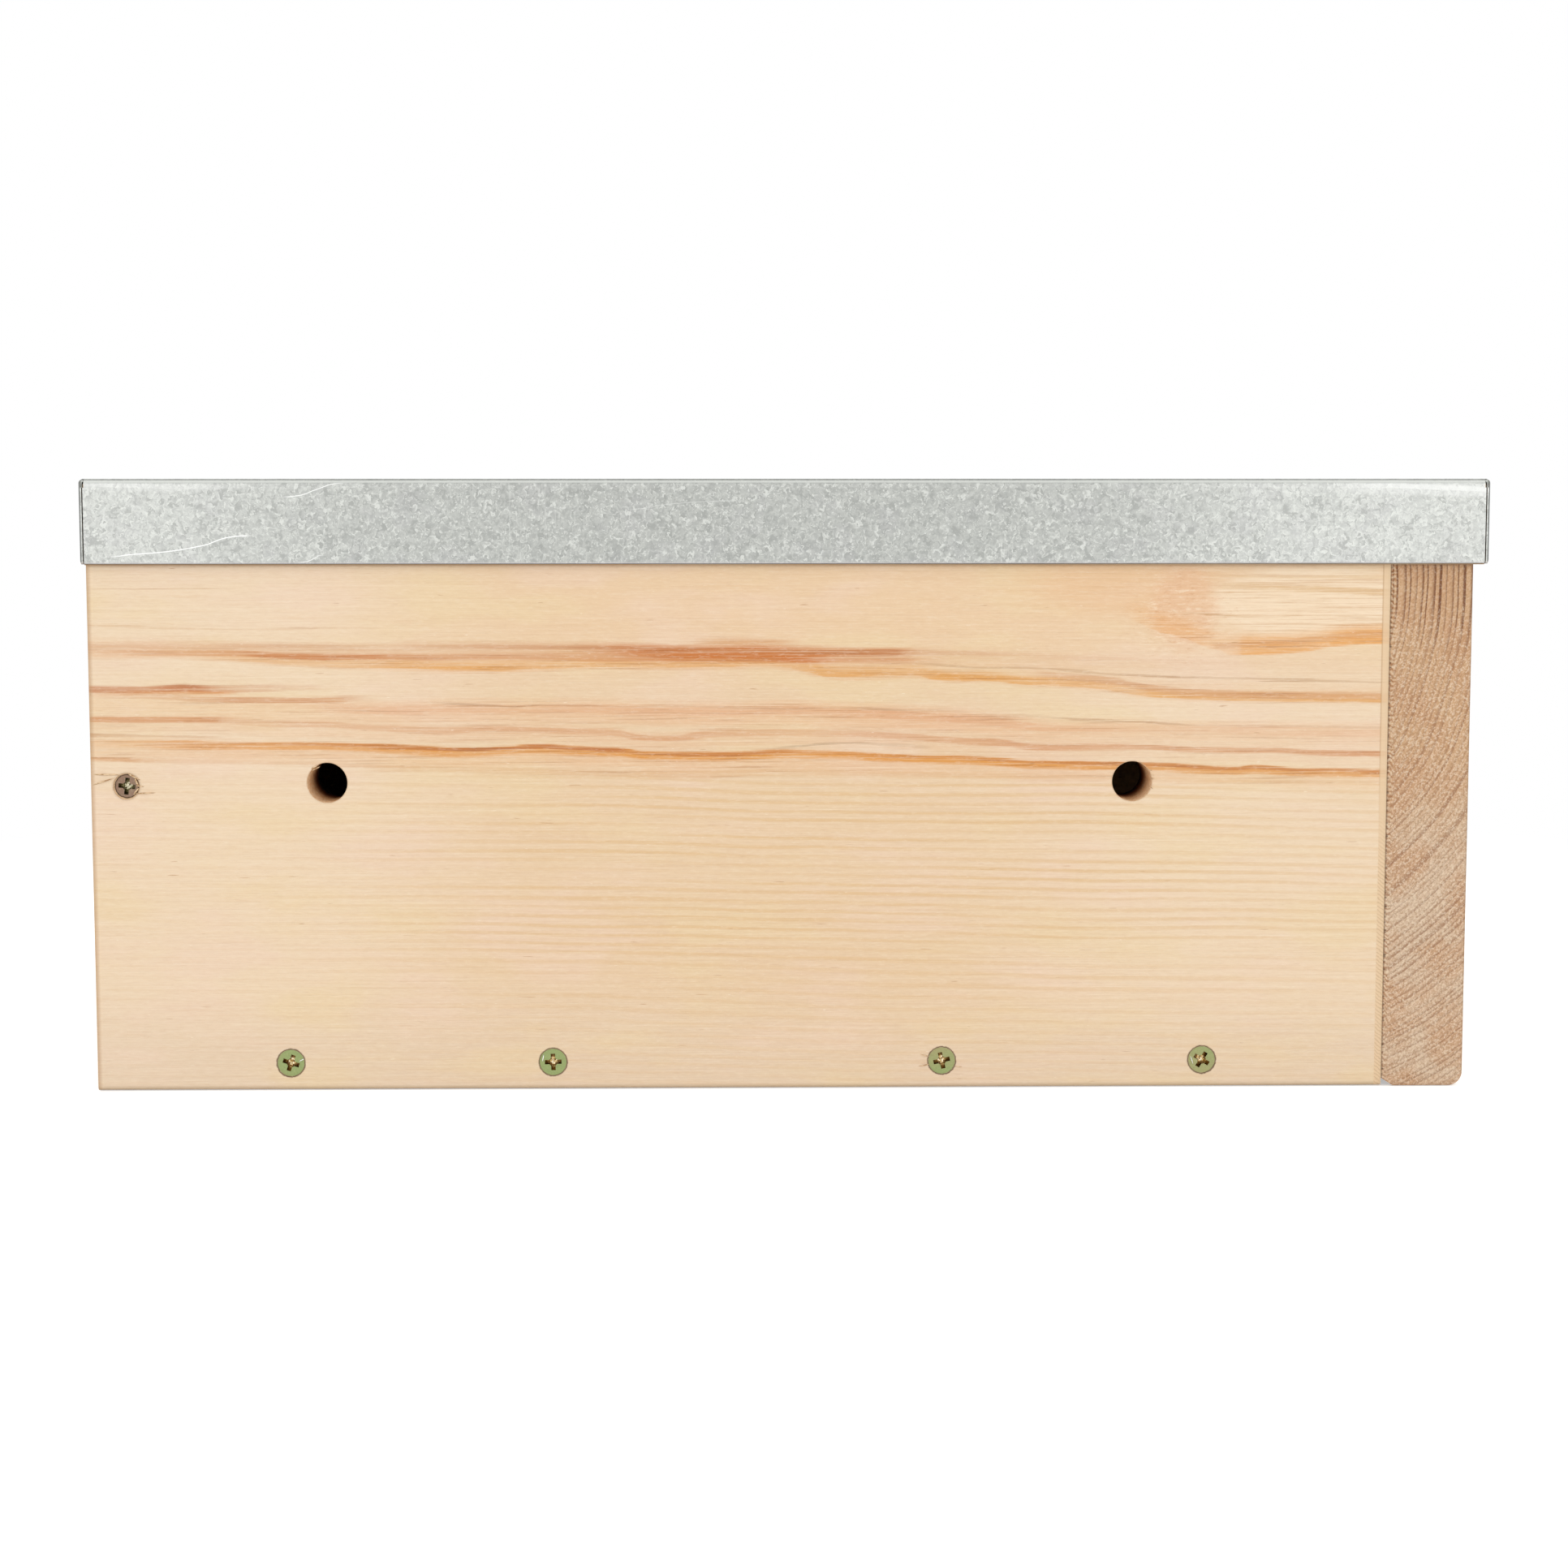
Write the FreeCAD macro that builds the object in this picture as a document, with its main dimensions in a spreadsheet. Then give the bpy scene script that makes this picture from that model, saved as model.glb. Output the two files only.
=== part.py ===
# Swift nest box: a screwed pine box with a folded galvanised roof cap.
#
# Frame: +Z is up and z = 0 is the underside. X runs along the box, from the rear board to the
# entrance board, and the origin lies under the middle of the roof cap. The wall with the two
# hanging holes faces -Y. All lengths are millimetres and all angles are degrees.
import FreeCAD, Part
import os
import re

import Sketcher

# Driving dimensions. Each name is an alias in the spreadsheet of the document.
DIMENSIONS = {
    # Box
    "wall_length": 322.0,
    "wall_height": 131.0,
    "board_thickness": 20.5,
    "chamber_width": 150.0,
    "wall_edge_radius": 1.0,
    # Inset end board and floor
    "rear_board_thickness": 18.0,
    "floor_thickness": 15.0,
    "plank_joint_gap": 0.4,
    # Hanging holes, counted from the middle of the drilled wall
    "hanging_hole_diameter": 10.0,
    "hanging_hole_spacing": 200.0,
    "hanging_hole_shift": 2.7,
    "hanging_hole_rise": 11.7,
    # Entrance, a long hole with round ends above the floor
    "entrance_width": 65.0,
    "entrance_height": 33.0,
    "entrance_sill": 10.0,
    "entrance_edge_radius": 1.5,
    # Lower edges of the planed entrance board
    "inner_chamfer_height": 2.0,
    "inner_chamfer_depth": 3.0,
    "outer_edge_radius": 3.5,
    # Roof board and its sheet cap
    "roof_overhang_rear": 0.2,
    "roof_overhang_front": 2.6,
    "roof_overhang_side": 0.5,
    "roof_edge_radius": 1.0,
    "sheet_thickness": 0.6,
    "sheet_bend_radius": 0.5,
    "cap_play": 0.2,
    "cap_apron_depth": 20.9,
    "cap_corner_gap": 0.3,
    "cap_relief_radius": 0.5,
    "cap_corner_radius": 1.2,
    # Countersunk wood screws
    "screw_diameter": 3.5,
    "screw_head_diameter": 6.7,
    "screw_length": 35.0,
    "screw_tip_length": 4.0,
    "recess_reach": 4.2,
    "recess_root_reach": 1.8,
    "recess_width": 1.1,
    "recess_root_width": 0.7,
    "recess_depth": 1.9,
    "recess_core_diameter": 2.2,
    "recess_core_root_diameter": 1.3,
    "screw_sink": 0.1,
    "rear_screw_sink": 0.6,
    # Screw places
    "floor_screw_spacing": 65.5,
    "floor_screw_drop": 0.7,
    "rear_pair_shift": 0.4,
    "front_pair_shift": 2.4,
    "rear_screw_shift": 0.3,
    "rear_screw_rise": 3.4,
    "entrance_screw_inset": 26.0,
    "roof_screw_inset": 50.0,
    # How far each visible recess is turned, counter-clockwise
    "floor_screw_twist_1": -18.0,
    "floor_screw_twist_2": 2.0,
    "floor_screw_twist_3": 13.0,
    "floor_screw_twist_4": -31.0,
    "rear_screw_twist": -6.0,
    # Pan-head screws of the cap
    "cap_screw_diameter": 3.0,
    "cap_screw_length": 12.0,
    "cap_screw_tip_length": 3.0,
    "cap_screw_head_diameter": 5.6,
    "cap_screw_head_height": 1.8,
    "cap_screw_head_radius": 0.9,
    "cap_screw_spread": 120.0,
    "cap_recess_reach": 3.4,
    "cap_recess_root_reach": 1.6,
    "cap_recess_width": 0.9,
    "cap_recess_root_width": 0.6,
    "cap_recess_depth": 1.4,
    "cap_recess_core_diameter": 1.8,
    "cap_recess_core_root_diameter": 1.1,
}

# Lengths and places worked out from the driving dimensions.
SIDE_Y = "(chamber_width / 2)"
BOX_WIDTH = "(chamber_width + 2 * board_thickness)"
ROOF_LENGTH = "(wall_length + board_thickness + roof_overhang_rear + roof_overhang_front)"
ROOF_WIDTH = f"({BOX_WIDTH} + 2 * roof_overhang_side)"
APRON_STANDOFF = "(cap_play + sheet_thickness)"
CAP_LENGTH = f"({ROOF_LENGTH} + 2 * {APRON_STANDOFF})"
CAP_WIDTH = f"({ROOF_WIDTH} + 2 * {APRON_STANDOFF})"
BOX_START = f"({APRON_STANDOFF} + roof_overhang_rear - {CAP_LENGTH} / 2)"
BOX_END = f"({BOX_START} + wall_length)"
ROOF_TOP = "(wall_height + board_thickness)"
PLANK_LENGTH = "((wall_length - plank_joint_gap) / 2)"
WALL_MIDDLE_Y = f"({SIDE_Y} + board_thickness / 2)"
FLOOR_SCREW_Z = "(floor_thickness / 2 - floor_screw_drop)"
REAR_SCREW_X = "(rear_board_thickness / 2 - rear_screw_shift)"
REAR_SCREW_Z = "((floor_thickness + wall_height) / 2 + rear_screw_rise)"
CAP_SCREW_BITE = "(cap_screw_length - sheet_thickness - cap_play)"
ENTRANCE_RADIUS = "(entrance_height / 2)"
ENTRANCE_HALF_SPAN = "((entrance_width - entrance_height) / 2)"
ENTRANCE_Z = f"(floor_thickness + entrance_sill + {ENTRANCE_RADIUS})"

# Distances of the four floor screws of a wall from the wall's rear end.
FLOOR_SCREW_XS = [
    f"({middle} + {side} * floor_screw_spacing / 2)"
    for middle in ("wall_length / 4 + rear_pair_shift", "3 * wall_length / 4 + front_pair_shift")
    for side in (-1, 1)
]

TOLERANCE = 1e-4
CUTTING_FEATURES = (
    "PartDesign::Pocket", "PartDesign::Hole", "PartDesign::Groove", "PartDesign::SubtractiveLoft")

doc = FreeCAD.newDocument("SwiftNestBox")
sheet = doc.addObject("Spreadsheet::Sheet", "Dim")


def fill_sheet():
    """Writes every driving dimension into the spreadsheet, under its alias."""
    for row, (name, size) in enumerate(DIMENSIONS.items(), start=1):
        sheet.set(f"A{row}", name)
        sheet.set(f"B{row}", str(size))
        sheet.setAlias(f"B{row}", name)
    doc.recompute()


def bound(text):
    """Returns an expression in which each dimension's name points at its cell."""
    return re.sub(r"[a-z]\w*", lambda word: f"Dim.{word.group()}", str(text))


def value(text):
    """Returns the present value of an expression."""
    return float(sheet.evalExpression(bound(text)))


def bind(item, name, text):
    """Ties a property, or a named constraint, to an expression."""
    item.setExpression(name, bound(text))


def new_body(label, x="0", y="0", z="0"):
    """Starts a sub-part whose own frame stands at the given place."""
    body = doc.addObject("PartDesign::Body", label)
    body.Label = label
    for axis, place in zip("xyz", (x, y, z)):
        bind(body, f"Placement.Base.{axis}", place)
    return body


def new_sketch(body, plane, offset="0"):
    """Starts a sketch on one of the body's own origin planes, moved along its normal."""
    support = next(item for item in body.Origin.OriginFeatures if item.Role == plane)
    sketch = body.newObject("Sketcher::SketchObject", f"{body.Label}_sketch")
    sketch.AttachmentSupport = [(support, "")]
    sketch.MapMode = "FlatFace"
    bind(sketch, "AttachmentOffset.Base.z", offset)
    return sketch


def hold_point(sketch, geometry, point, x, y):
    """Places one point of a sketch by two dimensions from the sketch's origin."""
    for kind, text in (("DistanceX", x), ("DistanceY", y)):
        index = sketch.addConstraint(Sketcher.Constraint(kind, -1, 1, geometry, point, value(text)))
        bind(sketch, f"Constraints[{index}]", text)


def add_outline(sketch, corners):
    """Draws a closed outline of straight lines through the given corners."""
    points = [FreeCAD.Vector(value(x), value(y), 0) for x, y in corners]
    lines = [
        sketch.addGeometry(Part.LineSegment(start, end), False)
        for start, end in zip(points, points[1:] + points[:1])
    ]
    for line, following in zip(lines, lines[1:] + lines[:1]):
        sketch.addConstraint(Sketcher.Constraint("Coincident", line, 2, following, 1))
    for line, (x, y) in zip(lines, corners):
        hold_point(sketch, line, 1, x, y)


def add_rectangle(sketch, left, bottom, width, height):
    """Draws a rectangle from its lower left corner."""
    right, top = f"({left} + {width})", f"({bottom} + {height})"
    add_outline(sketch, [(left, bottom), (right, bottom), (right, top), (left, top)])


def add_circles(sketch, places, diameter):
    """Draws one circle at each place."""
    for x, y in places:
        centre = FreeCAD.Vector(value(x), value(y), 0)
        circle = Part.Circle(centre, FreeCAD.Vector(0, 0, 1), value(diameter) / 2)
        geometry = sketch.addGeometry(circle, False)
        index = sketch.addConstraint(Sketcher.Constraint("Diameter", geometry, value(diameter)))
        bind(sketch, f"Constraints[{index}]", diameter)
        hold_point(sketch, geometry, 3, x, y)


def add_long_hole(sketch, middle_y, half_span, radius):
    """Draws a level long hole with round ends, centred on the sketch's vertical axis."""
    y, span, r = value(middle_y), value(half_span), value(radius)
    right = Part.ArcOfCircle(
        FreeCAD.Vector(span, y - r, 0), FreeCAD.Vector(span + r, y, 0), FreeCAD.Vector(span, y + r, 0))
    left = Part.ArcOfCircle(
        FreeCAD.Vector(-span, y + r, 0), FreeCAD.Vector(-span - r, y, 0), FreeCAD.Vector(-span, y - r, 0))
    ends = [sketch.addGeometry(arc, False) for arc in (right, left)]
    sides = [
        sketch.addGeometry(Part.LineSegment(start, end), False)
        for start, end in (
            (FreeCAD.Vector(span, y + r, 0), FreeCAD.Vector(-span, y + r, 0)),
            (FreeCAD.Vector(-span, y - r, 0), FreeCAD.Vector(span, y - r, 0)))
    ]
    for arc, line, following in ((ends[0], sides[0], ends[1]), (ends[1], sides[1], ends[0])):
        sketch.addConstraint(Sketcher.Constraint("Tangent", arc, 2, line, 1))
        sketch.addConstraint(Sketcher.Constraint("Tangent", line, 2, following, 1))
    sketch.addConstraint(Sketcher.Constraint("Equal", ends[0], ends[1]))
    index = sketch.addConstraint(Sketcher.Constraint("Radius", ends[0], r))
    bind(sketch, f"Constraints[{index}]", radius)
    hold_point(sketch, ends[0], 3, half_span, middle_y)
    index = sketch.addConstraint(Sketcher.Constraint("DistanceX", -1, 1, ends[1], 3, -span))
    bind(sketch, f"Constraints[{index}]", f"-1 * {half_span}")


def add_cross(sketch, reach, width):
    """Draws the outline of a four-armed screwdriver recess."""
    far, near = f"({reach} / 2)", f"({width} / 2)"
    quarter = [(far, near), (near, near), (near, far)]
    corners = []
    for x_sign, y_sign in ((1, 1), (-1, 1), (-1, -1), (1, -1)):
        arm = [(f"({x_sign}) * {x}", f"({y_sign}) * {y}") for x, y in quarter]
        corners += arm if x_sign == y_sign else arm[::-1]
    add_outline(sketch, corners)


def pad(body, sketch, length, backwards=False):
    """Raises a sketch into a solid, along its normal or against it."""
    feature = body.newObject("PartDesign::Pad", f"{body.Label}_pad")
    feature.Profile = sketch
    feature.Reversed = backwards
    bind(feature, "Length", length)
    doc.recompute()
    return feature


def pocket(body, sketch, depth, along_normal=False):
    """Cuts a sketch into the solid, against its normal or along it."""
    feature = body.newObject("PartDesign::Pocket", f"{body.Label}_pocket")
    feature.Profile = sketch
    feature.Reversed = along_normal
    bind(feature, "Length", depth)
    doc.recompute()
    return feature


def countersunk_holes(body, plane, face, places, sink, along_normal=False):
    """Drills through the solid at each place, with a seat that sinks a screw's head.

    face is the drilled face's distance from the body's origin plane, along the plane's normal.
    """
    mouths = new_sketch(body, plane, face)
    add_circles(mouths, places, "screw_head_diameter")
    pocket(body, mouths, sink, along_normal)
    seats = new_sketch(body, plane, f"{face} {'+' if along_normal else '-'} {sink}")
    add_circles(seats, places, "screw_diameter")
    feature = body.newObject("PartDesign::Hole", f"{body.Label}_holes")
    feature.Profile = seats
    doc.recompute()
    feature.Reversed = along_normal
    feature.Threaded = False
    feature.DepthType = "ThroughAll"
    feature.HoleCutType = "Countersink"
    feature.HoleCutCustomValues = True
    feature.HoleCutCountersinkAngle = 90.0
    bind(feature, "Diameter", "screw_diameter")
    bind(feature, "HoleCutDiameter", "screw_head_diameter")
    doc.recompute()
    return feature


def edges_where(feature, test):
    """Names the edges of a feature whose two ends and middle all pass a test."""
    names = []
    for index, edge in enumerate(feature.Shape.Edges, start=1):
        middle = edge.valueAt((edge.FirstParameter + edge.LastParameter) / 2)
        if all(test(point) for point in [vertex.Point for vertex in edge.Vertexes] + [middle]):
            names.append(f"Edge{index}")
    return names


def same(first, second):
    """Tells whether two lengths are the same but for rounding."""
    return abs(first - second) < TOLERANCE


def fillet(body, base, edges, radius):
    """Rounds the named edges of a feature."""
    feature = body.newObject("PartDesign::Fillet", f"{body.Label}_fillet")
    feature.Base = (base, edges)
    bind(feature, "Radius", radius)
    doc.recompute()
    return feature


def long_wall(label, side):
    """Makes a long wall; side is -1 for the wall that faces -Y and 1 for the one opposite.

    The wall's own frame stands at its rear end, on its outer face, at its underside.
    """
    outer_y = f"({side}) * ({SIDE_Y} + board_thickness)"
    body = new_body(label, BOX_START, outer_y, "0")
    outline = new_sketch(body, "XZ_Plane")
    add_rectangle(outline, "0", "0", "wall_length", "wall_height")
    blank = pad(body, outline, "board_thickness", backwards=side < 0)
    lower_edge = edges_where(blank, lambda point: same(point.y, 0) and same(point.z, 0))
    fillet(body, blank, lower_edge, "wall_edge_radius")

    floor_row = [(x, FLOOR_SCREW_Z) for x in FLOOR_SCREW_XS]
    countersunk_holes(body, "XZ_Plane", "0", floor_row, "screw_sink", along_normal=side > 0)
    rear_place = [(REAR_SCREW_X, REAR_SCREW_Z)]
    countersunk_holes(body, "XZ_Plane", "0", rear_place, "rear_screw_sink", along_normal=side > 0)

    middle_y = f"({-side}) * board_thickness / 2"
    end_pilots = new_sketch(body, "YZ_Plane", "wall_length")
    heights = ("entrance_screw_inset", "wall_height - entrance_screw_inset")
    add_circles(end_pilots, [(middle_y, height) for height in heights], "screw_diameter")
    pocket(body, end_pilots, "screw_sink + screw_length - board_thickness")

    top_pilots = new_sketch(body, "XY_Plane", "wall_height")
    insets = ("roof_screw_inset", "wall_length - roof_screw_inset")
    add_circles(top_pilots, [(inset, middle_y) for inset in insets], "screw_diameter")
    pocket(body, top_pilots, "screw_sink + screw_length - board_thickness")
    return body


def drilled_wall():
    """Makes the wall that goes against the house, with its two hanging holes."""
    body = long_wall("drilled_wall", -1)
    holes = new_sketch(body, "XZ_Plane")
    middle_x = "wall_length / 2 - hanging_hole_shift"
    height = "wall_height / 2 + hanging_hole_rise"
    places = [(f"{middle_x} + ({side}) * hanging_hole_spacing / 2", height) for side in (-1, 1)]
    add_circles(holes, places, "hanging_hole_diameter")
    pocket(body, holes, "board_thickness")
    return body


def rear_board():
    """Makes the inset end board, which stands on the floor between the long walls."""
    body = new_body("rear_board", BOX_START, "0", "floor_thickness")
    outline = new_sketch(body, "YZ_Plane")
    add_rectangle(outline, f"-1 * {SIDE_Y}", "0", "chamber_width", "wall_height - floor_thickness")
    pad(body, outline, "rear_board_thickness")
    for side in (-1, 1):
        pilot = new_sketch(body, "XZ_Plane", f"({-side}) * {SIDE_Y}")
        add_circles(pilot, [(REAR_SCREW_X, f"{REAR_SCREW_Z} - floor_thickness")], "screw_diameter")
        bite = "rear_screw_sink + screw_length - board_thickness"
        pocket(body, pilot, bite, along_normal=side > 0)
    return body


def floor_plank(label, start, screws):
    """Makes a floor plank that begins at a distance from the walls' rear ends."""
    body = new_body(label, f"{BOX_START} + {start}", "0", "0")
    outline = new_sketch(body, "XY_Plane")
    add_rectangle(outline, "0", f"-1 * {SIDE_Y}", PLANK_LENGTH, "chamber_width")
    pad(body, outline, "floor_thickness")
    for side in (-1, 1):
        pilots = new_sketch(body, "XZ_Plane", f"({-side}) * {SIDE_Y}")
        add_circles(pilots, [(f"{x} - {start}", FLOOR_SCREW_Z) for x in screws], "screw_diameter")
        bite = "screw_sink + screw_length - board_thickness"
        pocket(body, pilots, bite, along_normal=side > 0)
    return body


def entrance_board():
    """Makes the planed board that covers the walls' ends and holds the entrance.

    The board's own frame stands on its inner face, on the middle plane, at its underside.
    """
    body = new_body("entrance_board", BOX_END, "0", "0")
    outline = new_sketch(body, "YZ_Plane")
    add_rectangle(outline, f"-1 * {BOX_WIDTH} / 2", "0", BOX_WIDTH, "wall_height")
    blank = pad(body, outline, "board_thickness")
    thickness = value("board_thickness")

    outer_edge = edges_where(blank, lambda point: same(point.x, thickness) and same(point.z, 0))
    rounded = fillet(body, blank, outer_edge, "outer_edge_radius")
    chamfer = body.newObject("PartDesign::Chamfer", "entrance_board_chamfer")
    inner_edge = edges_where(rounded, lambda point: same(point.x, 0) and same(point.z, 0))
    chamfer.Base = (rounded, inner_edge)
    chamfer.ChamferType = "Two distances"
    bind(chamfer, "Size", "inner_chamfer_depth")
    bind(chamfer, "Size2", "inner_chamfer_height")
    doc.recompute()

    opening = new_sketch(body, "YZ_Plane", "board_thickness")
    add_long_hole(opening, ENTRANCE_Z, ENTRANCE_HALF_SPAN, ENTRANCE_RADIUS)
    cut = pocket(body, opening, "board_thickness")
    rim_y, rim_low = value("entrance_width") / 2, value("floor_thickness")
    rim = edges_where(
        cut,
        lambda point: same(point.x, thickness) and abs(point.y) <= rim_y + TOLERANCE
        and rim_low < point.z < value(f"2 * {ENTRANCE_Z} - floor_thickness"))
    fillet(body, cut, rim, "entrance_edge_radius")

    heights = ("entrance_screw_inset", "wall_height - entrance_screw_inset")
    places = [(f"({side}) * {WALL_MIDDLE_Y}", height) for side in (-1, 1) for height in heights]
    countersunk_holes(body, "YZ_Plane", "board_thickness", places, "screw_sink")
    return body


def roof_board():
    """Makes the board under the sheet, with its upper edges eased to pass the sheet's bends."""
    body = new_body("roof_board", f"-1 * {ROOF_LENGTH} / 2", "0", "wall_height")
    outline = new_sketch(body, "XY_Plane")
    add_rectangle(outline, "0", f"-1 * {ROOF_WIDTH} / 2", ROOF_LENGTH, ROOF_WIDTH)
    blank = pad(body, outline, "board_thickness")
    top = value("board_thickness")
    fillet(body, blank, edges_where(blank, lambda point: same(point.z, top)), "roof_edge_radius")

    insets = ("roof_screw_inset", "(wall_length - roof_screw_inset)")
    places = [
        (f"roof_overhang_rear + {inset}", f"({side}) * {WALL_MIDDLE_Y}")
        for inset in insets for side in (-1, 1)
    ]
    countersunk_holes(body, "XY_Plane", "board_thickness", places, "screw_sink")

    spread = [(f"({side}) * cap_screw_spread / 2", "board_thickness / 2") for side in (-1, 1)]
    rear_pilots = new_sketch(body, "YZ_Plane")
    add_circles(rear_pilots, spread, "cap_screw_diameter")
    pocket(body, rear_pilots, CAP_SCREW_BITE, along_normal=True)
    front_pilots = new_sketch(body, "YZ_Plane", ROOF_LENGTH)
    add_circles(front_pilots, spread, "cap_screw_diameter")
    pocket(body, front_pilots, CAP_SCREW_BITE)
    return body


def roof_cap():
    """Makes the sheet cap: four aprons bent down from one panel, butted at open corners.

    The cap's own frame stands in the middle of the sheet's upper face.
    """
    body = new_body("roof_cap", "0", "0", f"{ROOF_TOP} + sheet_thickness")
    outer = new_sketch(body, "XY_Plane")
    add_rectangle(outer, f"-1 * {CAP_LENGTH} / 2", f"-1 * {CAP_WIDTH} / 2", CAP_LENGTH, CAP_WIDTH)
    blank = pad(body, outer, "cap_apron_depth", backwards=True)
    bends = edges_where(blank, lambda point: same(point.z, 0))
    rounded = fillet(body, blank, bends, "sheet_bend_radius + sheet_thickness")

    # The hollow leaves the panel and the four aprons at the sheet's thickness.
    hollow = new_sketch(body, "XY_Plane", "-1 * cap_apron_depth")
    inner_length = f"({CAP_LENGTH} - 2 * sheet_thickness)"
    inner_width = f"({CAP_WIDTH} - 2 * sheet_thickness)"
    add_rectangle(hollow, f"-1 * {inner_length} / 2", f"-1 * {inner_width} / 2",
                  inner_length, inner_width)
    shell = pocket(body, hollow, "cap_apron_depth - sheet_thickness", along_normal=True)
    ceiling = -value("sheet_thickness")
    inside = edges_where(shell, lambda point: same(point.z, ceiling))
    fillet(body, shell, inside, "sheet_bend_radius")

    # Each long apron stops short of the short aprons, whose cut edges show beside it.
    bend_height = "(sheet_bend_radius + sheet_thickness)"
    gap_left = [f"(-1 * {inner_length} / 2)", f"({inner_length} / 2 - cap_corner_gap)"]
    for side in (-1, 1):
        gaps = new_sketch(body, "XZ_Plane", f"({-side}) * {CAP_WIDTH} / 2")
        for left in gap_left:
            add_rectangle(gaps, left, "-1 * cap_apron_depth", "cap_corner_gap",
                          f"(cap_apron_depth - {bend_height})")
        pocket(body, gaps, "sheet_thickness", along_normal=side > 0)

    # A small round relief opens the corner where two bends meet.
    relief = new_sketch(body, "XY_Plane")
    relief_x = f"({inner_length} / 2 - cap_corner_gap / 2)"
    relief_y = f"({inner_width} / 2 + sheet_thickness / 2)"
    corners = [(f"({x}) * {relief_x}", f"({y}) * {relief_y}") for x in (-1, 1) for y in (-1, 1)]
    add_circles(relief, corners, "2 * cap_relief_radius")
    opened = pocket(body, relief, f"2 * {bend_height}")

    # The lower corners of the short aprons are snipped round.
    low, long_half, wide_half = (
        -value("cap_apron_depth"), value(f"{CAP_LENGTH} / 2"), value(f"{CAP_WIDTH} / 2"))
    tips = edges_where(
        opened,
        lambda point: same(point.z, low) and same(abs(point.y), wide_half)
        and abs(point.x) > long_half - value("sheet_thickness") - TOLERANCE)
    fillet(body, opened, tips, "cap_corner_radius")

    screw_z = "sheet_thickness + board_thickness / 2"
    spread = [(f"({side}) * cap_screw_spread / 2", f"-1 * ({screw_z})") for side in (-1, 1)]
    for side in (-1, 1):
        holes = new_sketch(body, "YZ_Plane", f"({side}) * {CAP_LENGTH} / 2")
        add_circles(holes, spread, "cap_screw_diameter")
        pocket(body, holes, "sheet_thickness", along_normal=side < 0)
    return body


def turned_screw(label, profile):
    """Turns a screw about its own Z axis from half of its section."""
    body = new_body(label)
    half_section = new_sketch(body, "XZ_Plane")
    add_outline(half_section, profile)
    turning = body.newObject("PartDesign::Revolution", f"{label}_turning")
    turning.Profile = half_section
    turning.ReferenceAxis = (half_section, ["V_Axis"])
    turning.Angle = 360.0
    doc.recompute()
    return body, turning


def press_recess(body, top, prefix):
    """Presses a tapered cross recess with a round core into a head whose face is at height top."""
    mouth = new_sketch(body, "XY_Plane", top)
    add_cross(mouth, f"{prefix}recess_reach", f"{prefix}recess_width")
    root = new_sketch(body, "XY_Plane", f"{top} - {prefix}recess_depth")
    add_cross(root, f"{prefix}recess_root_reach", f"{prefix}recess_root_width")
    recess = body.newObject("PartDesign::SubtractiveLoft", f"{body.Label}_recess")
    recess.Profile = mouth
    recess.Sections = [root]
    recess.Ruled = True
    core = new_sketch(body, "XZ_Plane")
    mouth_radius = f"({prefix}recess_core_diameter / 2)"
    root_radius = f"({prefix}recess_core_root_diameter / 2)"
    add_outline(core, [
        ("0", top),
        (mouth_radius, top),
        (root_radius, f"{top} - {prefix}recess_depth"),
        ("0", f"{top} - {prefix}recess_depth - {root_radius} / 3"),
    ])
    groove = body.newObject("PartDesign::Groove", f"{body.Label}_recess_core")
    groove.Profile = core
    groove.ReferenceAxis = (core, ["V_Axis"])
    groove.Angle = 360.0
    doc.recompute()


def wood_screw():
    """Makes the countersunk screw, head face at z = 0 and point downwards."""
    head_radius, radius = "(screw_head_diameter / 2)", "(screw_diameter / 2)"
    body, _ = turned_screw("wood_screw", [
        ("0", "0"),
        (head_radius, "0"),
        (radius, f"{radius} - {head_radius}"),
        (radius, "screw_tip_length - screw_length"),
        ("0", "-1 * screw_length"),
    ])
    press_recess(body, "0", "")
    return body


def cap_screw():
    """Makes the pan-head screw, the head's bearing face at z = 0 and point downwards."""
    head_radius, radius = "(cap_screw_head_diameter / 2)", "(cap_screw_diameter / 2)"
    body, turning = turned_screw("cap_screw", [
        ("0", "cap_screw_head_height"),
        (head_radius, "cap_screw_head_height"),
        (head_radius, "0"),
        (radius, "0"),
        (radius, "cap_screw_tip_length - cap_screw_length"),
        ("0", "-1 * cap_screw_length"),
    ])
    top = value("cap_screw_head_height")
    rim = edges_where(turning, lambda point: same(point.z, top) and point.Length > top)
    fillet(body, turning, rim, "cap_screw_head_radius")
    press_recess(body, "cap_screw_head_height", "cap_")
    return body


def screw_group(label, screw, seats):
    """Sets copies of a screw on their seats, as one sub-part of separate solids.

    A seat is the place of the screw's own origin, the way its head faces and the recess's turn.
    """
    copies = []
    for number, (x, y, z, outward, twist) in enumerate(seats, start=1):
        copy = doc.addObject("App::Link", f"{label}_{number}")
        copy.LinkedObject = screw
        up = FreeCAD.Vector(0, 0, 1)
        turn = FreeCAD.Rotation(up, outward) * FreeCAD.Rotation(up, value(twist))
        copy.Placement = FreeCAD.Placement(FreeCAD.Vector(), turn)
        for axis, place in zip("xyz", (x, y, z)):
            bind(copy, f"Placement.Base.{axis}", place)
        copies.append(copy)
    group = doc.addObject("Part::Compound", label)
    group.Label = label
    group.Links = copies
    doc.recompute()
    return group


def side_seats(places, sink, twists):
    """Returns the seats of screws driven through both long walls, first the wall facing -Y."""
    seats = []
    for side in (-1, 1):
        face_y = f"({side}) * ({SIDE_Y} + board_thickness - {sink})"
        outward = FreeCAD.Vector(0, side, 0)
        seats += [(f"{BOX_START} + {x}", face_y, z, outward, twist)
                  for (x, z), twist in zip(places, twists)]
    return seats


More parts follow.
